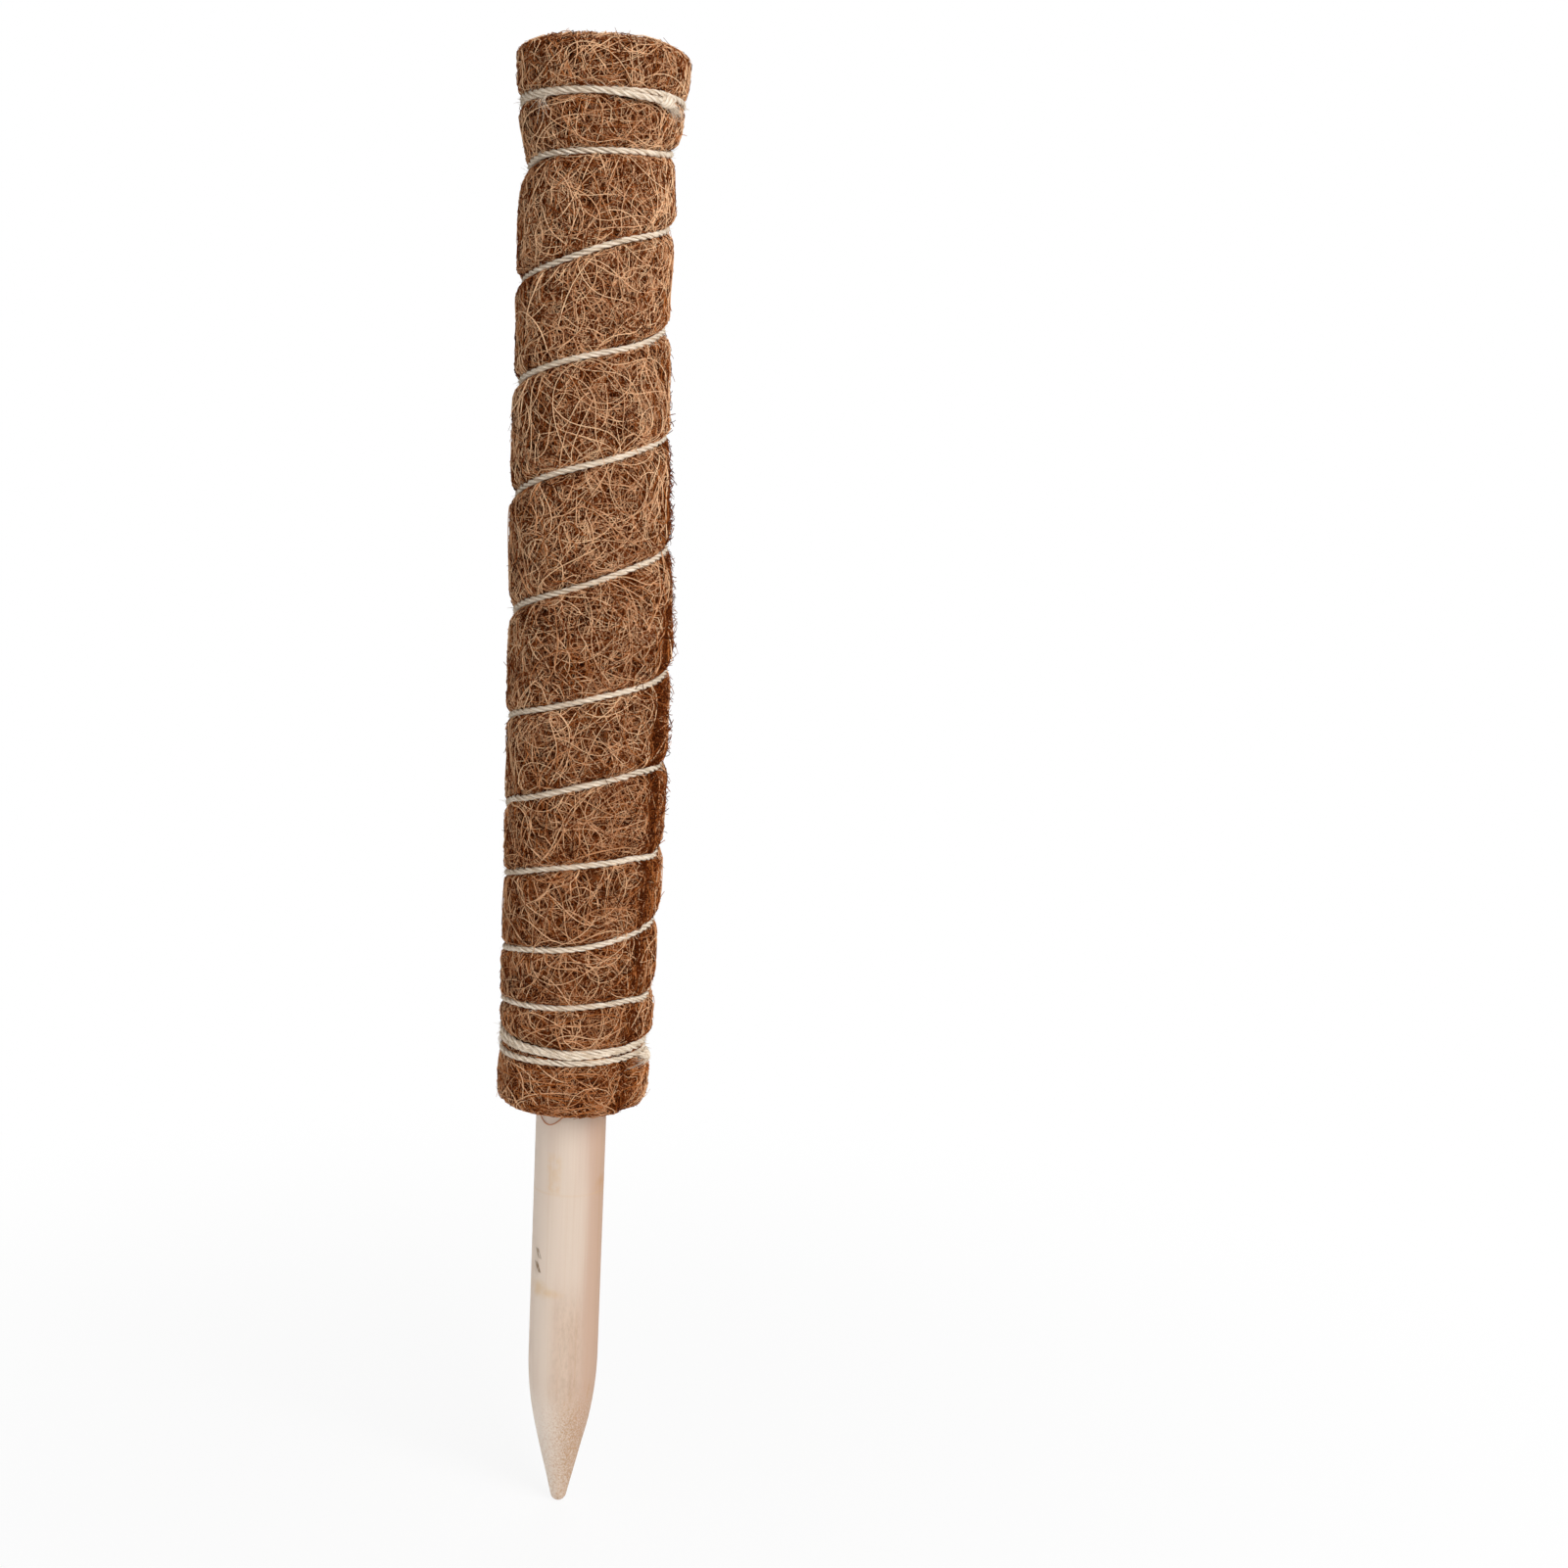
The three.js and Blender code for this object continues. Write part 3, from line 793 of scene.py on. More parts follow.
def wander(rng, length, steps, bend, sway):
    """Curved routes on a flat surface, as offsets from their middles: (count, steps, 2)."""
    count = len(length)
    share = np.linspace(-0.5, 0.5, steps)
    reach = length[:, None] * share
    heading = rng.uniform(0, FULL_TURN, (count, 1)) + bend[:, None] * reach
    phase = rng.uniform(0, FULL_TURN, (count, 1))
    waves = rng.uniform(0.7, 1.8, (count, 1))
    heading = heading + sway * np.sin(FULL_TURN * waves * share + phase)
    step = (length / (steps - 1))[:, None]
    moves = np.stack([np.cos(heading), np.sin(heading)], -1) * step[..., None]
    route = np.cumsum(moves, axis=1)
    return route - route[:, steps // 2][:, None]


def swing(rng, count, share, fewest, most):
    """Rise and fall along fibres, in a number of waves of each one's own."""
    waves = rng.uniform(fewest, most, (count, 1))
    return np.sin(FULL_TURN * waves * share + rng.uniform(0, FULL_TURN, (count, 1)))


def dive(share, level):
    """0 along the level middle of a fibre, and up to 1 at its ends."""
    return np.maximum(np.abs(2 * share - 1) - level, 0) / (1 - level)


def tapered(rng, count, thinnest, thickest, taper):
    """Radii along fibres, given in mm and thinner by the taper."""
    return rng.uniform(thinnest, thickest, (count, 1)) * MM * (1 - taper)


class MOSS_POLE_OT_stage(bpy.types.Operator):
    """Set up the floor, the light and the camera"""

    bl_idname = "moss_pole.stage"
    bl_label = "Stage"

    FLOOR_SIZE = 6
    FLOOR_GAP = 0.3 * MM  # under the stake's tip
    NEAR_GLOW = 0.87  # share of the floor's glow near the foot
    AMBIENT = 0.3  # strength of the background as a light
    LAMPS = (  # name, place, size, power, height that it looks at, and spread in degrees
        ("key", (0.72, -0.9, 0.75), 0.9, 13.9, 0.1, 180),
        ("fill", (-0.9, -0.8, 0.35), 0.9, 0.35, 0.1, 180),
        ("low", (-0.66, -0.31, -0.1), 0.2, 0.04, -0.1, 22),
        ("back", (0.1, 1.1, 0.8), 0.9, 2.8, 0.1, 180),
    )

    def execute(self, context):
        stage = context.scene.moss_pole.stage
        self.add_camera(context, stage)
        self.add_floor(stage)
        self.add_light(context, stage)
        context.scene.view_settings.view_transform = "Standard"
        return {"FINISHED"}

    def add_camera(self, context, stage):
        data = bpy.data.cameras.new("camera")
        data.lens = stage.lens
        data.sensor_width = 36
        camera = bpy.data.objects.new("camera", data)
        context.scene.collection.objects.link(camera)
        level = math.cos(stage.pitch)
        east, north = math.sin(stage.yaw), math.cos(stage.yaw)
        ahead = Vector((east * level, north * level, -math.sin(stage.pitch)))
        right = Vector((north, -east, 0))
        up = right.cross(ahead)
        lean = Matrix.Rotation(-stage.roll, 3, ahead)
        axes = Matrix((lean @ right, lean @ up, -ahead)).transposed().to_4x4()
        place = Vector((stage.aside, -stage.distance, stage.height))
        camera.matrix_world = Matrix.Translation(place) @ axes
        context.scene.camera = camera

    def add_floor(self, stage):
        """A floor that glows like the background, less so near the foot, where the shadow shows."""
        start_primitive()
        height = STAKE_LOW.z - self.FLOOR_GAP
        bpy.ops.mesh.primitive_plane_add(size=self.FLOOR_SIZE, location=(0, 0, height))
        floor = bpy.context.object
        floor.name = "floor"
        material, shader, place = new_finish("white floor", 0.9, 0.0)
        backdrop = opaque(stage.backdrop)
        shader.inputs["Base Color"].default_value = backdrop
        lit = Wire(place.tree, shader.outputs[0])
        glow = place.node("ShaderNodeEmission", None, {"Color": backdrop, "Strength": 1.0})
        away = place.node("ShaderNodeVectorMath", {"operation": "LENGTH"}, {0: place}, "Value")
        strength = self.NEAR_GLOW + (1 - self.NEAR_GLOW) * away.between(0.05, 0.4)
        share = seen_by(place.tree, "Camera", "Glossy") * strength
        mixed = place.node("ShaderNodeMixShader", None, {0: share, 1: lit, 2: glow})
        output = next(node for node in place.tree.nodes if node.type == "OUTPUT_MATERIAL")
        place.tree.links.new(mixed.socket, output.inputs[0])
        floor.data.materials.append(material)

    def add_light(self, context, stage):
        """The lamps, and a background that is white to look at and a dim light on the pole."""
        world = bpy.data.worlds.new("studio")
        context.scene.world = world
        world.use_nodes = True
        tree = world.node_tree
        tree.nodes.clear()
        seen = seen_by(tree, "Camera", "Glossy", "Transmission")
        strength = self.AMBIENT + (1 - self.AMBIENT) * seen
        sockets = {"Color": opaque(stage.backdrop), "Strength": strength}
        shown = seen.node("ShaderNodeBackground", None, sockets)
        output = tree.nodes.new("ShaderNodeOutputWorld")
        tree.links.new(shown.socket, output.inputs[0])
        for lamp in self.LAMPS:
            self.add_lamp(context, *lamp)

    def add_lamp(self, context, name, place, size, power, aimed_at, spread):
        """A square lamp that looks at this height of the pole."""
        data = bpy.data.lights.new(name, "AREA")
        data.size = size
        data.spread = math.radians(spread)
        data.energy = power
        lamp = bpy.data.objects.new(name, data)
        context.scene.collection.objects.link(lamp)
        aim = Vector((0, 0, aimed_at)) - Vector(place)
        turned_to = aim.to_track_quat("-Z", "Y").to_matrix().to_4x4()
        lamp.matrix_world = Matrix.Translation(place) @ turned_to


class MOSS_POLE_OT_stake(bpy.types.Operator):
    """Turn the pointed stake from a round blank"""

    bl_idname = "moss_pole.stake"
    bl_label = "Stake"

    SIDES = 80
    UNEVEN = 0.012  # share of the radius by which the turned point is uneven

    def execute(self, context):
        stake = context.scene.moss_pole.stake
        rings = self.profile(stake)
        start_primitive()
        top_radius, top = rings[0]
        bpy.ops.mesh.primitive_circle_add(
            vertices=self.SIDES, radius=top_radius, fill_type="NGON", location=(0, 0, top)
        )
        piece = context.object
        piece.name = "stake_turned"
        bpy.ops.object.transform_apply(location=True)
        bpy.ops.object.mode_set(mode="EDIT")
        bpy.ops.mesh.select_all(action="SELECT")
        last_radius, last = top_radius, top
        for radius, z in rings[1:]:
            bpy.ops.mesh.extrude_region_move(TRANSFORM_OT_translate={"value": (0, 0, z - last)})
            share = radius / last_radius
            bpy.ops.transform.resize(value=(share, share, 1), center_override=(0, 0, z))
            last_radius, last = radius, z
        bpy.ops.mesh.select_all(action="SELECT")
        bpy.ops.mesh.normals_make_consistent(inside=False)
        bpy.ops.object.mode_set(mode="OBJECT")
        self.wear(piece.data, stake)
        bpy.ops.object.shade_smooth_by_angle(angle=math.radians(50))
        finish_piece(piece, wood_finish(stake), "wood", "wooden_stake")
        return {"FINISHED"}

    def profile(self, stake):
        """Radius and height of each ring from the top down to the tip."""
        radius = stake.diameter / 2
        top, bottom = STAKE_HIGH.z, STAKE_LOW.z
        rings = [(radius - 1 * MM, top), (radius - 0.3 * MM, top - 0.25 * MM), (radius, top - 1 * MM)]
        shoulder = bottom + stake.point
        rings += [(radius, z) for z in np.linspace(0, shoulder + stake.shoulder, 24)]
        slope = math.atan2(radius - stake.tip_radius, stake.point)
        tip_turn = math.pi / 2 - slope
        cone_end = bottom + stake.tip_radius * (1 - math.cos(tip_turn))
        cone_radius = stake.tip_radius * math.sin(tip_turn)
        taper = (radius - cone_radius) / (shoulder - cone_end)
        for z in np.linspace(shoulder + stake.shoulder, cone_end, 40)[1:]:
            below = shoulder - z
            if below < stake.shoulder:
                below = (below + stake.shoulder) ** 2 / (4 * stake.shoulder)
            rings.append((radius - taper * below, z))
        for share in np.linspace(1, 0.12, 7)[1:]:
            turn = tip_turn * share
            rise = stake.tip_radius * (1 - math.cos(turn))
            rings.append((stake.tip_radius * math.sin(turn), bottom + rise))
        return rings

    def wear(self, mesh, stake):
        """Slight unevenness of the turned point."""
        places = vertex_places(mesh)
        angle, z = np.arctan2(places[:, 0], -places[:, 1]), places[:, 2]
        down = smooth(z, STAKE_LOW.z + stake.point, STAKE_LOW.z + 0.5 * stake.point)
        wave = 0.5 * np.sin(3 * angle + 400 * z) + 0.5 * np.sin(7 * angle - 260 * z)
        places[:, :2] *= (1 - self.UNEVEN * down * (1 + wave))[:, None]
        move_vertices(mesh, places)


class MOSS_POLE_OT_coir_mat(bpy.types.Operator):
    """Roll the coir mat into its bound sleeve"""

    bl_idname = "moss_pole.coir_mat"
    bl_label = "Coir mat"

    AROUND = 126  # columns of the grid
    LIP = 3  # columns more, which turn round the free edge
    WALL = 330  # rows up the wall
    FACE = 14  # rows over each end
    BORE = 12  # rows from each end into the bore
    UNDER = math.radians(5)  # how far the mat goes on under its free edge

    def execute(self, context):
        pole = context.scene.moss_pole
        form = SleeveForm(pole)
        along = self.rows(pole.sleeve)
        columns = self.AROUND + self.LIP + 1
        start_primitive()
        bpy.ops.mesh.primitive_grid_add(
            x_subdivisions=columns - 1, y_subdivisions=len(along) - 1, size=1, location=(0, 0, 0)
        )
        piece = context.object
        piece.name = "coir_felt"
        mesh = piece.data
        flat = vertex_places(mesh)
        column = np.rint((flat[:, 0] + 0.5) * (columns - 1)).astype(int)
        row = np.rint((flat[:, 1] + 0.5) * (len(along) - 1)).astype(int)
        move_vertices(mesh, self.roll(form, column, along[row]))
        bpy.ops.object.mode_set(mode="EDIT")
        bpy.ops.mesh.select_all(action="SELECT")
        bpy.ops.mesh.remove_doubles(threshold=0.01 * MM)
        bpy.ops.mesh.normals_make_consistent(inside=False)
        bpy.ops.object.mode_set(mode="OBJECT")
        bpy.ops.object.shade_smooth()
        finish_piece(piece, coir_felt_finish(pole.sleeve), "coir", "coir_mat")
        return {"FINISHED"}

    def rows(self, sleeve):
        """Places along the section: up the wall, over both ends and into the bore."""
        deep = sleeve.mat_thickness * 2 + sleeve.flare
        bore = np.linspace(sleeve.length / 2, 2 * MM, self.BORE)
        faces = np.linspace(deep, 0, self.FACE, endpoint=False)
        wall = np.linspace(0, sleeve.length, self.WALL)
        low = -np.concatenate([bore + deep, faces])
        return np.concatenate([low, wall, sleeve.length - low[::-1]])

    def roll(self, form, column, along):
        """Points of the sleeve. The first columns lie under the free edge and the last ones turn
        round it, so that the edge overhangs."""
        sleeve = form.sleeve
        inside = np.clip(along, 0, sleeve.length)
        seam = form.seam(inside)
        last, under = self.AROUND, self.UNDER
        on_lip = column > last
        lip = np.clip(column - last, 0, self.LIP) / self.LIP
        angle = seam - under + (FULL_TURN + under) * np.minimum(column, last) / last
        angle = np.where(on_lip, seam + FULL_TURN - under * lip, angle)
        past = np.clip((FULL_TURN + under) * column / last - under, 0, FULL_TURN - 1e-4)
        points, _ = form.place(angle, along, np.full(len(along), -sleeve.felt_sink))
        rim, pull = form.surface(angle, inside, past=np.where(on_lip, FULL_TURN, past))
        low = form.radius(angle, inside, past=np.zeros(len(along)))
        wanted = np.where(on_lip, rim + (low - rim) * lip, rim)
        wanted = wanted - sleeve.felt_sink * (1 - form.PRESSED * pull)
        over = np.abs(along - inside)
        radius = wanted - np.minimum(over, wanted - sleeve.bore_radius)
        points[:, :2] = outward(angle)[:, :2] * radius[:, None]
        return points


class MOSS_POLE_OT_coir_fibres(bpy.types.Operator):
    """Lay coir fibres over the sleeve"""

    bl_idname = "moss_pole.coir_fibres"
    bl_label = "Coir fibres"

    SIDES = 3
    LARGEST = 190000  # triangles in a piece
    MEAN_RADIUS = 21 * MM  # where a flat route keeps its length round the sleeve
    FACE_REACH = 13 * MM  # how far the fibres go on over the end faces
    EVEN_STEPS = (0.7548777, 0.5698403)  # of a sequence that fills a square evenly
    PALE, DARK = 0.84, 0.24  # tones of the two kinds of felted fibres
    PALE_SHARE = 0.54
    RIM_SHARE = 0.08  # share of the long fibres that lie along the lower rim

    def execute(self, context):
        pole = context.scene.moss_pole
        self.form = SleeveForm(pole)
        self.finish = coir_fibre_finish(pole.sleeve)
        self.lay_felt(pole.sleeve)
        self.lay_long(pole.sleeve)
        self.raise_ends(pole.sleeve)
        self.fray_edge(pole.sleeve)
        self.hang_loop()
        return {"FINISHED"}

    def starts(self, rng, count):
        """Places scattered evenly over the wall and both end faces."""
        order = np.arange(count)[:, None] * np.array(self.EVEN_STEPS)
        share = np.mod(order + rng.random(2) + rng.normal(0, 0.002, (count, 2)), 1)
        reach = self.form.sleeve.length + 2 * self.FACE_REACH
        return FULL_TURN * share[:, 0], reach * share[:, 1] - self.FACE_REACH

    def lay(self, name, routes, starts, lift, radii, tones, over_edge=False):
        """Makes tubes along flat routes bent round the sleeve, in pieces that aren't too big.
        Fibres keep to their side of the mat's free edge, unless they are loose ends over it."""
        angle, along = starts
        angles = angle[:, None] + routes[..., 0] / self.MEAN_RADIUS
        heights = self.between_turns(angles, along[:, None] + routes[..., 1])
        seams = self.form.seam(np.clip(heights, 0, self.form.sleeve.length))
        past = np.mod(angles[:, :1] - seams[:, :1], FULL_TURN)
        past = past + (angles - angles[:, :1]) - (seams - seams[:, :1])
        if not over_edge:
            low, high = past.min(1, keepdims=True), past.max(1, keepdims=True)
            shift = np.maximum(-low, 0) + np.minimum(FULL_TURN - high, 0)
            angles, past = angles + shift, past + shift
        past = np.clip(past, 0, FULL_TURN - 0.001)
        middle = routes.shape[1] // 2
        # Painted shade beside the free edge and towards the foot darkens the fibres' tones.
        tones = tones * self.brightness(past[:, middle], heights[:, middle])
        points, away = self.form.place(angles, heights, lift, past)
        rings = tube_rings(points, away, radii, self.SIDES)
        most = self.LARGEST // (2 * self.SIDES * (rings.shape[1] - 1) + 2)
        pieces = math.ceil(len(rings) / most)
        for i, part in enumerate(np.array_split(np.arange(len(rings)), pieces)):
            piece = f"{name}_{i + 1}" if pieces > 1 else name
            add_fibres(piece, rings[part], tones[part], self.finish, "coir")

    def brightness(self, past, height):
        """Painted shade: fibres are darker on both sides of the free edge, and a little darker
        towards the foot.
        """
        wide = 0.34 + 0.3 * self.form.at_middle(height)
        shade_below_edge = 1 - smooth(past / wide, 0.15, 1)
        shade_on_edge = 0.5 * smooth(past, FULL_TURN - 0.12, FULL_TURN)
        # Painted shade, darker towards the foot.
        foot = smooth(height, 125 * MM, 65 * MM)
        return (1 - 0.7 * np.maximum(shade_below_edge, shade_on_edge)) * (1 - 0.1 * foot)

    def between_turns(self, angles, heights):
        """Folds routes back where they meet the twine, so that no fibre runs over it."""
        winding = self.form.winding
        share = angles / FULL_TURN
        middle = heights.shape[1] // 2
        low, high = np.full(heights.shape, -0.2), np.full(heights.shape, 0.6)
        for whole in range(math.floor(winding.first) - 2, math.ceil(winding.last) + 2):
            turn = share + whole
            strand = winding.height(turn)
            held = (turn >= winding.first) & (turn <= winding.last)
            under = (strand[:, middle] <= heights[:, middle])[:, None]
            low = np.where(held & under, np.maximum(low, strand), low)
            high = np.where(held & ~under, np.minimum(high, strand), high)
        room = np.maximum(high - low, 0.1 * MM)
        folded = np.mod((heights - low) / room, 2)
        return low + room * np.minimum(folded, 2 - folded)

    def lay_felt(self, sleeve):
        """The fibres that make the felted surface, crossing over and under each other."""
        rng = np.random.default_rng(3)
        count, steps = sleeve.felt_fibres, 5
        length = rng.uniform(6, 17, count) * MM
        routes = wander(rng, length, steps, rng.normal(0, 130, count), 0.7)
        share = np.linspace(0, 1, steps)
        ends = dive(share, 0.6)
        depth = np.linspace(-1.15, 0.05, count)
        lift = (depth[:, None] + 0.2 * swing(rng, count, share, 0.5, 1.5) - 0.7 * ends) * MM
        radii = tapered(rng, count, 0.065, 0.145, 0.4 * ends)
        kind = np.where(rng.random(count) < self.PALE_SHARE, self.PALE, self.DARK)
        # Painted shade: deeper fibres get darker tones.
        tones = np.clip(kind + 0.14 * depth + rng.normal(0, 0.13, count), 0.02, 1)
        self.lay("coir_felted_fibres", routes, self.starts(rng, count), lift, radii, tones)

    def lay_long(self, sleeve):
        """Long pale fibres in loose arcs over the felt, a few of them along the lower rim."""
        rng = np.random.default_rng(5)
        count, steps = sleeve.long_fibres, 19
        length = rng.uniform(24, 60, count) * MM
        bend = rng.normal(0, 55, count) + np.where(rng.random(count) < 0.2, 110, 0)
        routes = wander(rng, length, steps, bend, 0.6)
        share = np.linspace(0, 1, steps)
        ends = dive(share, 0.7)
        lift = 0.25 * swing(rng, count, share, 0.6, 1.8) - 0.8 * ends
        lift = (lift + rng.uniform(-0.4, 0.05, (count, 1))) * MM
        radii = tapered(rng, count, 0.11, 0.185, 0.4 * ends)
        tones = np.clip(rng.normal(0.92, 0.12, count), 0.5, 1)
        angle, along = self.starts(rng, count)
        at_rim = rng.random(count) < self.RIM_SHARE
        along = np.where(at_rim, rng.uniform(-2, 12, count) * MM, along)
        routes[..., 1] *= np.where(at_rim, 0.25, 1)[:, None]
        tones = np.where(at_rim, 0.75, 1) * tones
        self.lay("coir_long_fibres", routes, (angle, along), lift, radii, tones)

    def raise_ends(self, sleeve):
        """Short ends that stand off the surface and the rims."""
        rng = np.random.default_rng(7)
        count, steps = sleeve.loose_ends, 6
        length = rng.uniform(3, 9, count) * MM
        routes = wander(rng, length, steps, rng.normal(0, 120, count), 0.3)
        angle, along = self.starts(rng, count)
        at_rim = rng.random(count) < 0.15
        rim = np.where(rng.random(count) < 0.5, 0, sleeve.length)
        along = np.where(at_rim, rim, along)
        share = np.linspace(0, 1, steps)
        stand = rng.exponential(0.25, (count, 1)).clip(0.05, 1.6)
        lift = (-0.5 + (0.5 + stand) * share**1.4) * MM
        radii = tapered(rng, count, 0.08, 0.16, 0.5 * share)
        tones = np.clip(rng.normal(0.5, 0.2, count), 0.05, 1)
        self.lay("coir_loose_ends", routes, (angle, along), lift, radii, tones)

    def fray_edge(self, sleeve):
        """Cut fibre ends that stick out of the mat's free edge and of the layer beside it."""
        rng = np.random.default_rng(13)
        count = sleeve.edge_ends
        share = np.linspace(0, 1, 6)
        heading = rng.normal(0, 0.75, (count, 1))
        length = rng.uniform(1.5, 5, (count, 1)) * MM
        turn = heading + rng.normal(0, 0.5, (count, 1)) * share
        reach = length * (share - 0.6)
        routes = np.stack([reach * np.cos(turn), reach * np.sin(turn)], -1)
        along = rng.uniform(0, sleeve.length, count)
        loose = rng.random(count) < 0.7 * self.form.at_middle(along)
        aside = np.where(loose, rng.uniform(0.05, 0.55, count), rng.uniform(-0.02, 0, count))
        starts = self.form.seam(along) + aside, along
        depth = np.where(loose, -0.4, rng.uniform(-3, 0.1, count))[:, None]
        rise = np.where(loose, rng.uniform(0.5, 1.8, count), rng.normal(0, 0.5, count))[:, None]
        lift = (depth + rise * share) * MM
        radii = tapered(rng, count, 0.1, 0.18, 0.4 * share)
        tones = np.clip(rng.normal(0.3, 0.16, count), 0.03, 0.8)
        self.lay("coir_edge_ends", routes, starts, lift, radii, tones, over_edge=True)

    def hang_loop(self):
        """One stray fibre that hangs in a loop under the sleeve, on the stake."""
        share = np.linspace(0, 1, 28)[None]
        out = outward(np.radians(-60 + 66 * share))
        points = out * (STAKE_HIGH.x + 0.35 * MM)
        points[..., 2] = (1 - 7.2 * np.sin(np.pi * share**0.8) ** 0.7) * MM
        rings = tube_rings(points, out, np.full(share.shape, 0.14 * MM), 6)
        add_fibres("coir_stray_loop", rings, np.array([0.62]), self.finish, "coir")


class MOSS_POLE_OT_twine(bpy.types.Operator):
    """Wind the plied twine round the sleeve"""

    bl_idname = "moss_pole.twine"
    bl_label = "Twine"

    PLIES = 3
    SIDES = 6
    STEP = 0.6 * MM  # between points along the twine
    PLY_RADIUS = 0.246  # as a share of the twine's diameter
    UNEVEN = 0.09  # share by which the plies' thickness varies
    UNEVEN_STEPS = 15  # points from one thicker or thinner place to the next

    def execute(self, context):
        pole = context.scene.moss_pole
        line, out = self.middle_line(Winding(pole))
        add_piece(self.plies(line, out, pole.twine), jute_finish(pole.twine), "jute", "twine_winding")
        self.hairs(line, out, pole.twine)
        return {"FINISHED"}

    def middle_line(self, winding):
        """Points evenly along the twine, with a little sway, and the directions out of the pole."""
        rough = np.linspace(winding.first, winding.last, 6000)
        points, _ = winding.points(rough)
        run = run_along(points)
        evenly = np.linspace(0, run[-1], int(run[-1] / self.STEP))
        turn = np.interp(evenly, run, rough)
        points, out = winding.points(turn)
        sway = 0.35 * np.sin(turn * 9.1) + 0.25 * np.sin(turn * 23.7 + 1)
        to_end = np.minimum(turn - winding.first, winding.last - turn)
        points[:, 2] += sway * MM * smooth(to_end, 0.5, 3)
        return points, out

    def plies(self, line, out, twine):
        """The plies, twisted round the middle line."""
        run = run_along(line)
        side = np.cross(unit(np.gradient(line, axis=0)), out)
        rng = np.random.default_rng(17)
        swells = rng.normal(0, 1, len(line) // self.UNEVEN_STEPS + 2).clip(-2, 2)
        places = self.UNEVEN_STEPS * np.arange(len(swells))
        uneven = 1 + self.UNEVEN * np.interp(np.arange(len(line)), places, swells)
        radius = self.PLY_RADIUS * twine.diameter * uneven
        turns = [FULL_TURN * (run / twine.lay + i / self.PLIES) for i in range(self.PLIES)]
        away = np.array([turned(out, side, turn) for turn in turns])
        paths = line + away * (twine.diameter / 2 - radius)[:, None]
        rings = tube_rings(paths, away, np.tile(radius, (self.PLIES, 1)), self.SIDES)
        mesh = tubes_mesh("twine_plies", rings)
        map_strands(mesh, run, self.SIDES)
        return mesh

    def hairs(self, line, out, twine):
        """Fine hairs that stand off the twine."""
        rng = np.random.default_rng(23)
        count, steps = twine.hairs, 5
        along = unit(np.gradient(line, axis=0))
        at = rng.integers(0, len(line), count)
        turn = rng.uniform(-0.62, 0.62, count) * math.pi
        side = np.cross(along[at], out[at])
        direction = turned(out[at], side, turn)
        lean = rng.choice([-1, 1], count) * rng.uniform(0.8, 3.5, count)
        heading = unit(direction + along[at] * lean[:, None])
        share = np.linspace(0, 1, steps)
        length = rng.gamma(2.2, 0.5, count).clip(0.4, 2.6) * MM
        curl = unit(rng.normal(0, 1, (count, 3)))
        start = line[at] + direction * (twine.diameter / 2 - 0.2 * MM)
        reach = length[:, None] * share
        paths = start[:, None] + heading[:, None] * reach[..., None]
        paths = paths + curl[:, None] * (0.35 * length[:, None] * share**2)[..., None]
        radii = tapered(rng, count, 0.04, 0.085, 0.5 * share)
        away = np.repeat(unit(np.cross(heading, curl))[:, None], steps, axis=1)
        rings = tube_rings(paths, away, radii, 3)
        tones = rng.uniform(0, 1, count)
        add_fibres("twine_hairs", rings, tones, jute_hair_finish(twine), "jute")


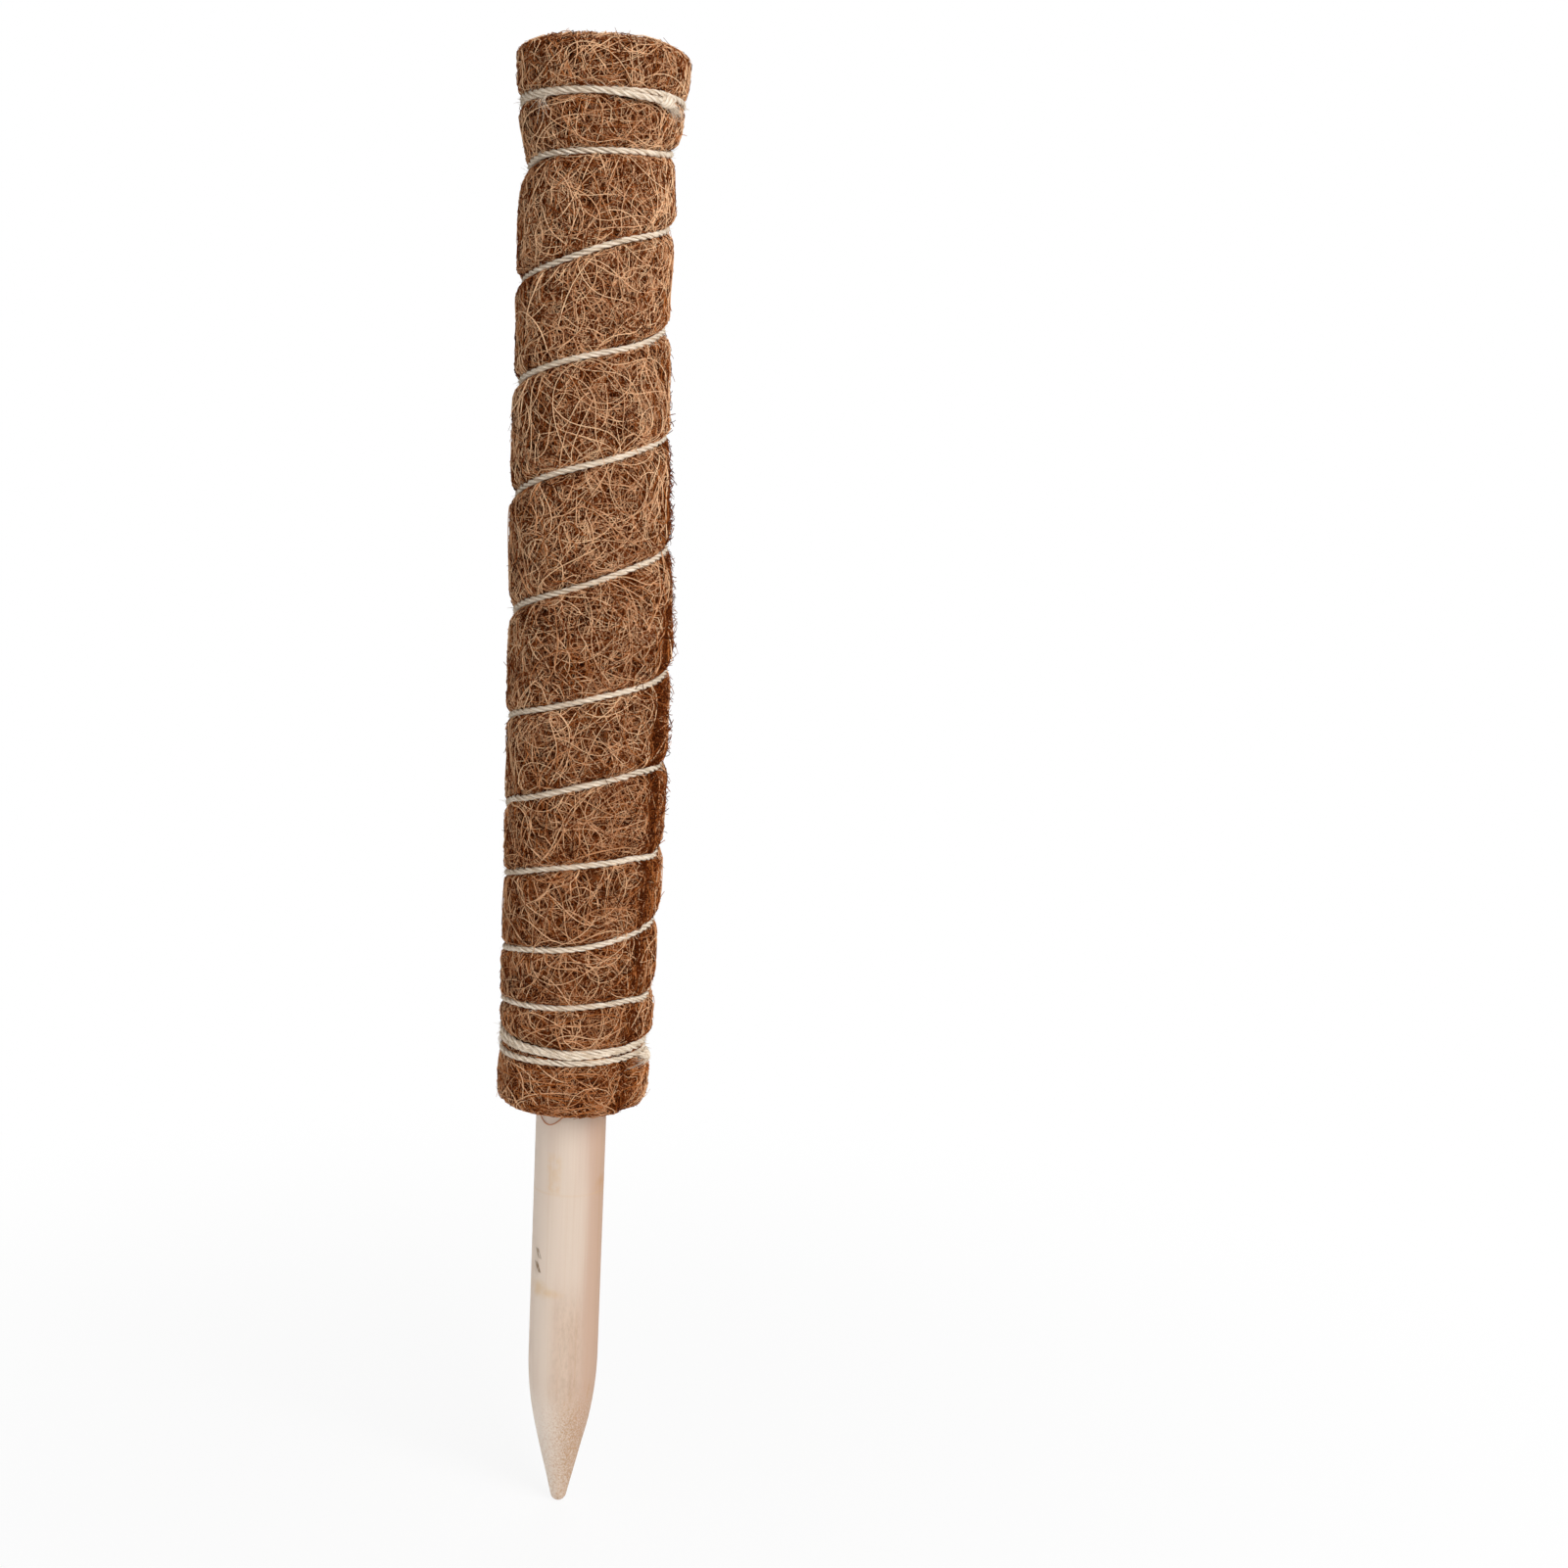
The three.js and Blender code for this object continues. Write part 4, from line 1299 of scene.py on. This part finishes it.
class MOSS_POLE_OT_knots(bpy.types.Operator):
    """Tie both ends of the twine"""

    bl_idname = "moss_pole.knots"
    bl_label = "Knots"

    STEPS = 40  # along a strand
    SIDES = 8
    STEP_LENGTH = 0.4 * MM  # of a strand's map
    LOOPS = 4  # slanting strands of a hitch

    def execute(self, context):
        pole = context.scene.moss_pole
        self.form = SleeveForm(pole)
        self.finish = jute_finish(pole.twine)
        self.hair = jute_hair_finish(pole.twine)
        winding = self.form.winding
        self.tie("top_knot_tied", "top_knot", winding.last, -0.14)
        self.tie("bottom_knot_tied", "bottom_knot", winding.first, 0.2)
        self.fray("top_knot_fray", 31, 80, winding.last, 5 * MM, -0.3)
        self.fray("bottom_knot_fray", 37, 60, winding.first, 4 * MM, 0.1)
        self.fray("top_binding_tuft", 41, 10, winding.open_turns + 0.89, 0, -2.2)
        self.fray("bottom_binding_tuft", 43, 26, -0.22, 0, -1.5)
        return {"FINISHED"}

    def tie(self, name, node, end, slope):
        """A tight hitch of slanting strands at the twine's end, with plies that part beyond it."""
        twine = self.form.winding.twine
        share = np.linspace(0, 1, self.STEPS)
        ahead = math.copysign(1, end)
        (start,), (out,) = self.form.winding.points(np.array([end]))
        radius = np.linalg.norm(start[:2])
        up = np.array([0, 0, 1.0])
        along = np.cross(up, out) * ahead
        swell = np.sin(np.pi * share) ** 0.7
        strand, core = 0.28 * twine.diameter, 0.2 * twine.diameter
        off = core + (0.5 * twine.knot_diameter - strand - core) * swell
        paths, directions, radii = [], [], []
        for i in range(self.LOOPS):
            turn = FULL_TURN * (0.9 * share + i / self.LOOPS)
            away = turned(0.75 * out, up, turn)
            body = start + along * (share * twine.knot_length)[:, None]
            paths.append(body + away * off[:, None])
            directions.append(unit(away))
            radii.append(strand * (0.75 + 0.25 * swell))
        for i in (-1, 0, 1):
            reach = share * (1.7 * twine.knot_length + i * 0.5 * MM)
            angle = end * FULL_TURN + ahead * reach / radius
            z = start[2] + reach * slope * smooth(share, 0.1, 1) + i * 0.55 * MM * (0.4 + share)
            near = self.form.radius(angle, z) + 0.4 * MM
            lies = radius + (near - radius) * smooth(share, 0.1, 0.6)
            route = outward(angle) * lies[:, None]
            route[:, 2] = z
            paths.append(route)
            directions.append(outward(angle))
            radii.append(0.3 * twine.diameter * (1 - 0.65 * smooth(share, 0.4, 1)))
        rings = tube_rings(np.array(paths), np.array(directions), np.array(radii), self.SIDES)
        mesh = tubes_mesh(name, rings)
        map_strands(mesh, self.STEP_LENGTH * np.arange(self.STEPS), self.SIDES)
        add_piece(mesh, self.finish, "jute", node)

    def fray(self, name, seed, count, at, reach, slope):
        """Loose jute hairs that lie on the sleeve, round one place of the twine or, with a reach, out
        from its end. slope is how far they fall or climb."""
        rng = np.random.default_rng(seed)
        share = np.linspace(0, 1, 9)
        ahead = math.copysign(1, at) if reach else 0
        (start,), _ = self.form.winding.points(np.array([at]))
        radius = np.linalg.norm(start[:2])
        first = rng.uniform(0.2, 1, (count, 1)) * reach + rng.normal(0, 0.8 * MM, (count, 1))
        length = rng.uniform(2.5, 7, (count, 1)) * MM
        heading = slope + rng.normal(0, 0.45, (count, 1))
        curl = rng.normal(0, 0.5, (count, 1)) * share
        sideways = (0.9 * ahead + rng.normal(0, 0.35, (count, 1)) + curl) * length * share
        angle = at * FULL_TURN + (first * (ahead or 1) + sideways) / radius
        z = start[2] + abs(ahead) * first * slope + length * share * heading * 0.5
        z = z + rng.normal(0, 0.4 * MM, (count, 1))
        lies = self.form.radius(angle, z) + rng.uniform(0.15, 0.7, (count, 1)) * MM
        lies = np.maximum(lies, (radius + 0.3 * MM) * (1 - 0.12 * share))
        out = outward(angle)
        paths = out * lies[..., None]
        paths[..., 2] = z
        radii = tapered(rng, count, 0.045, 0.09, 0.5 * share)
        rings = tube_rings(paths, out, radii, 3)
        add_fibres(name, rings, rng.uniform(0.3, 1, count), self.hair, "jute")


class MOSS_POLE_PT_sidebar(bpy.types.Panel):
    """The steps that build the moss pole"""

    bl_idname = "MOSS_POLE_PT_sidebar"
    bl_label = "Moss pole"
    bl_space_type = "VIEW_3D"
    bl_region_type = "UI"
    bl_category = "Moss pole"

    def draw(self, context):
        for operator in OPERATORS:
            self.layout.operator(operator.bl_idname)


OPERATORS = (
    MOSS_POLE_OT_stage,
    MOSS_POLE_OT_stake,
    MOSS_POLE_OT_coir_mat,
    MOSS_POLE_OT_coir_fibres,
    MOSS_POLE_OT_twine,
    MOSS_POLE_OT_knots,
)
CLASSES = (
    StakeSettings,
    SleeveSettings,
    TwineSettings,
    StageSettings,
    MossPoleSettings,
    *OPERATORS,
    MOSS_POLE_PT_sidebar,
)


def register():
    for cls in CLASSES:
        bpy.utils.register_class(cls)
    bpy.types.Scene.moss_pole = bpy.props.PointerProperty(type=MossPoleSettings)


def unregister():
    del bpy.types.Scene.moss_pole
    for cls in reversed(CLASSES):
        bpy.utils.unregister_class(cls)


def main():
    register()
    bpy.ops.moss_pole.stage()
    bpy.ops.moss_pole.stake()
    bpy.ops.moss_pole.coir_mat()
    bpy.ops.moss_pole.coir_fibres()
    bpy.ops.moss_pole.twine()
    bpy.ops.moss_pole.knots()


if __name__ == "__main__":
    main()
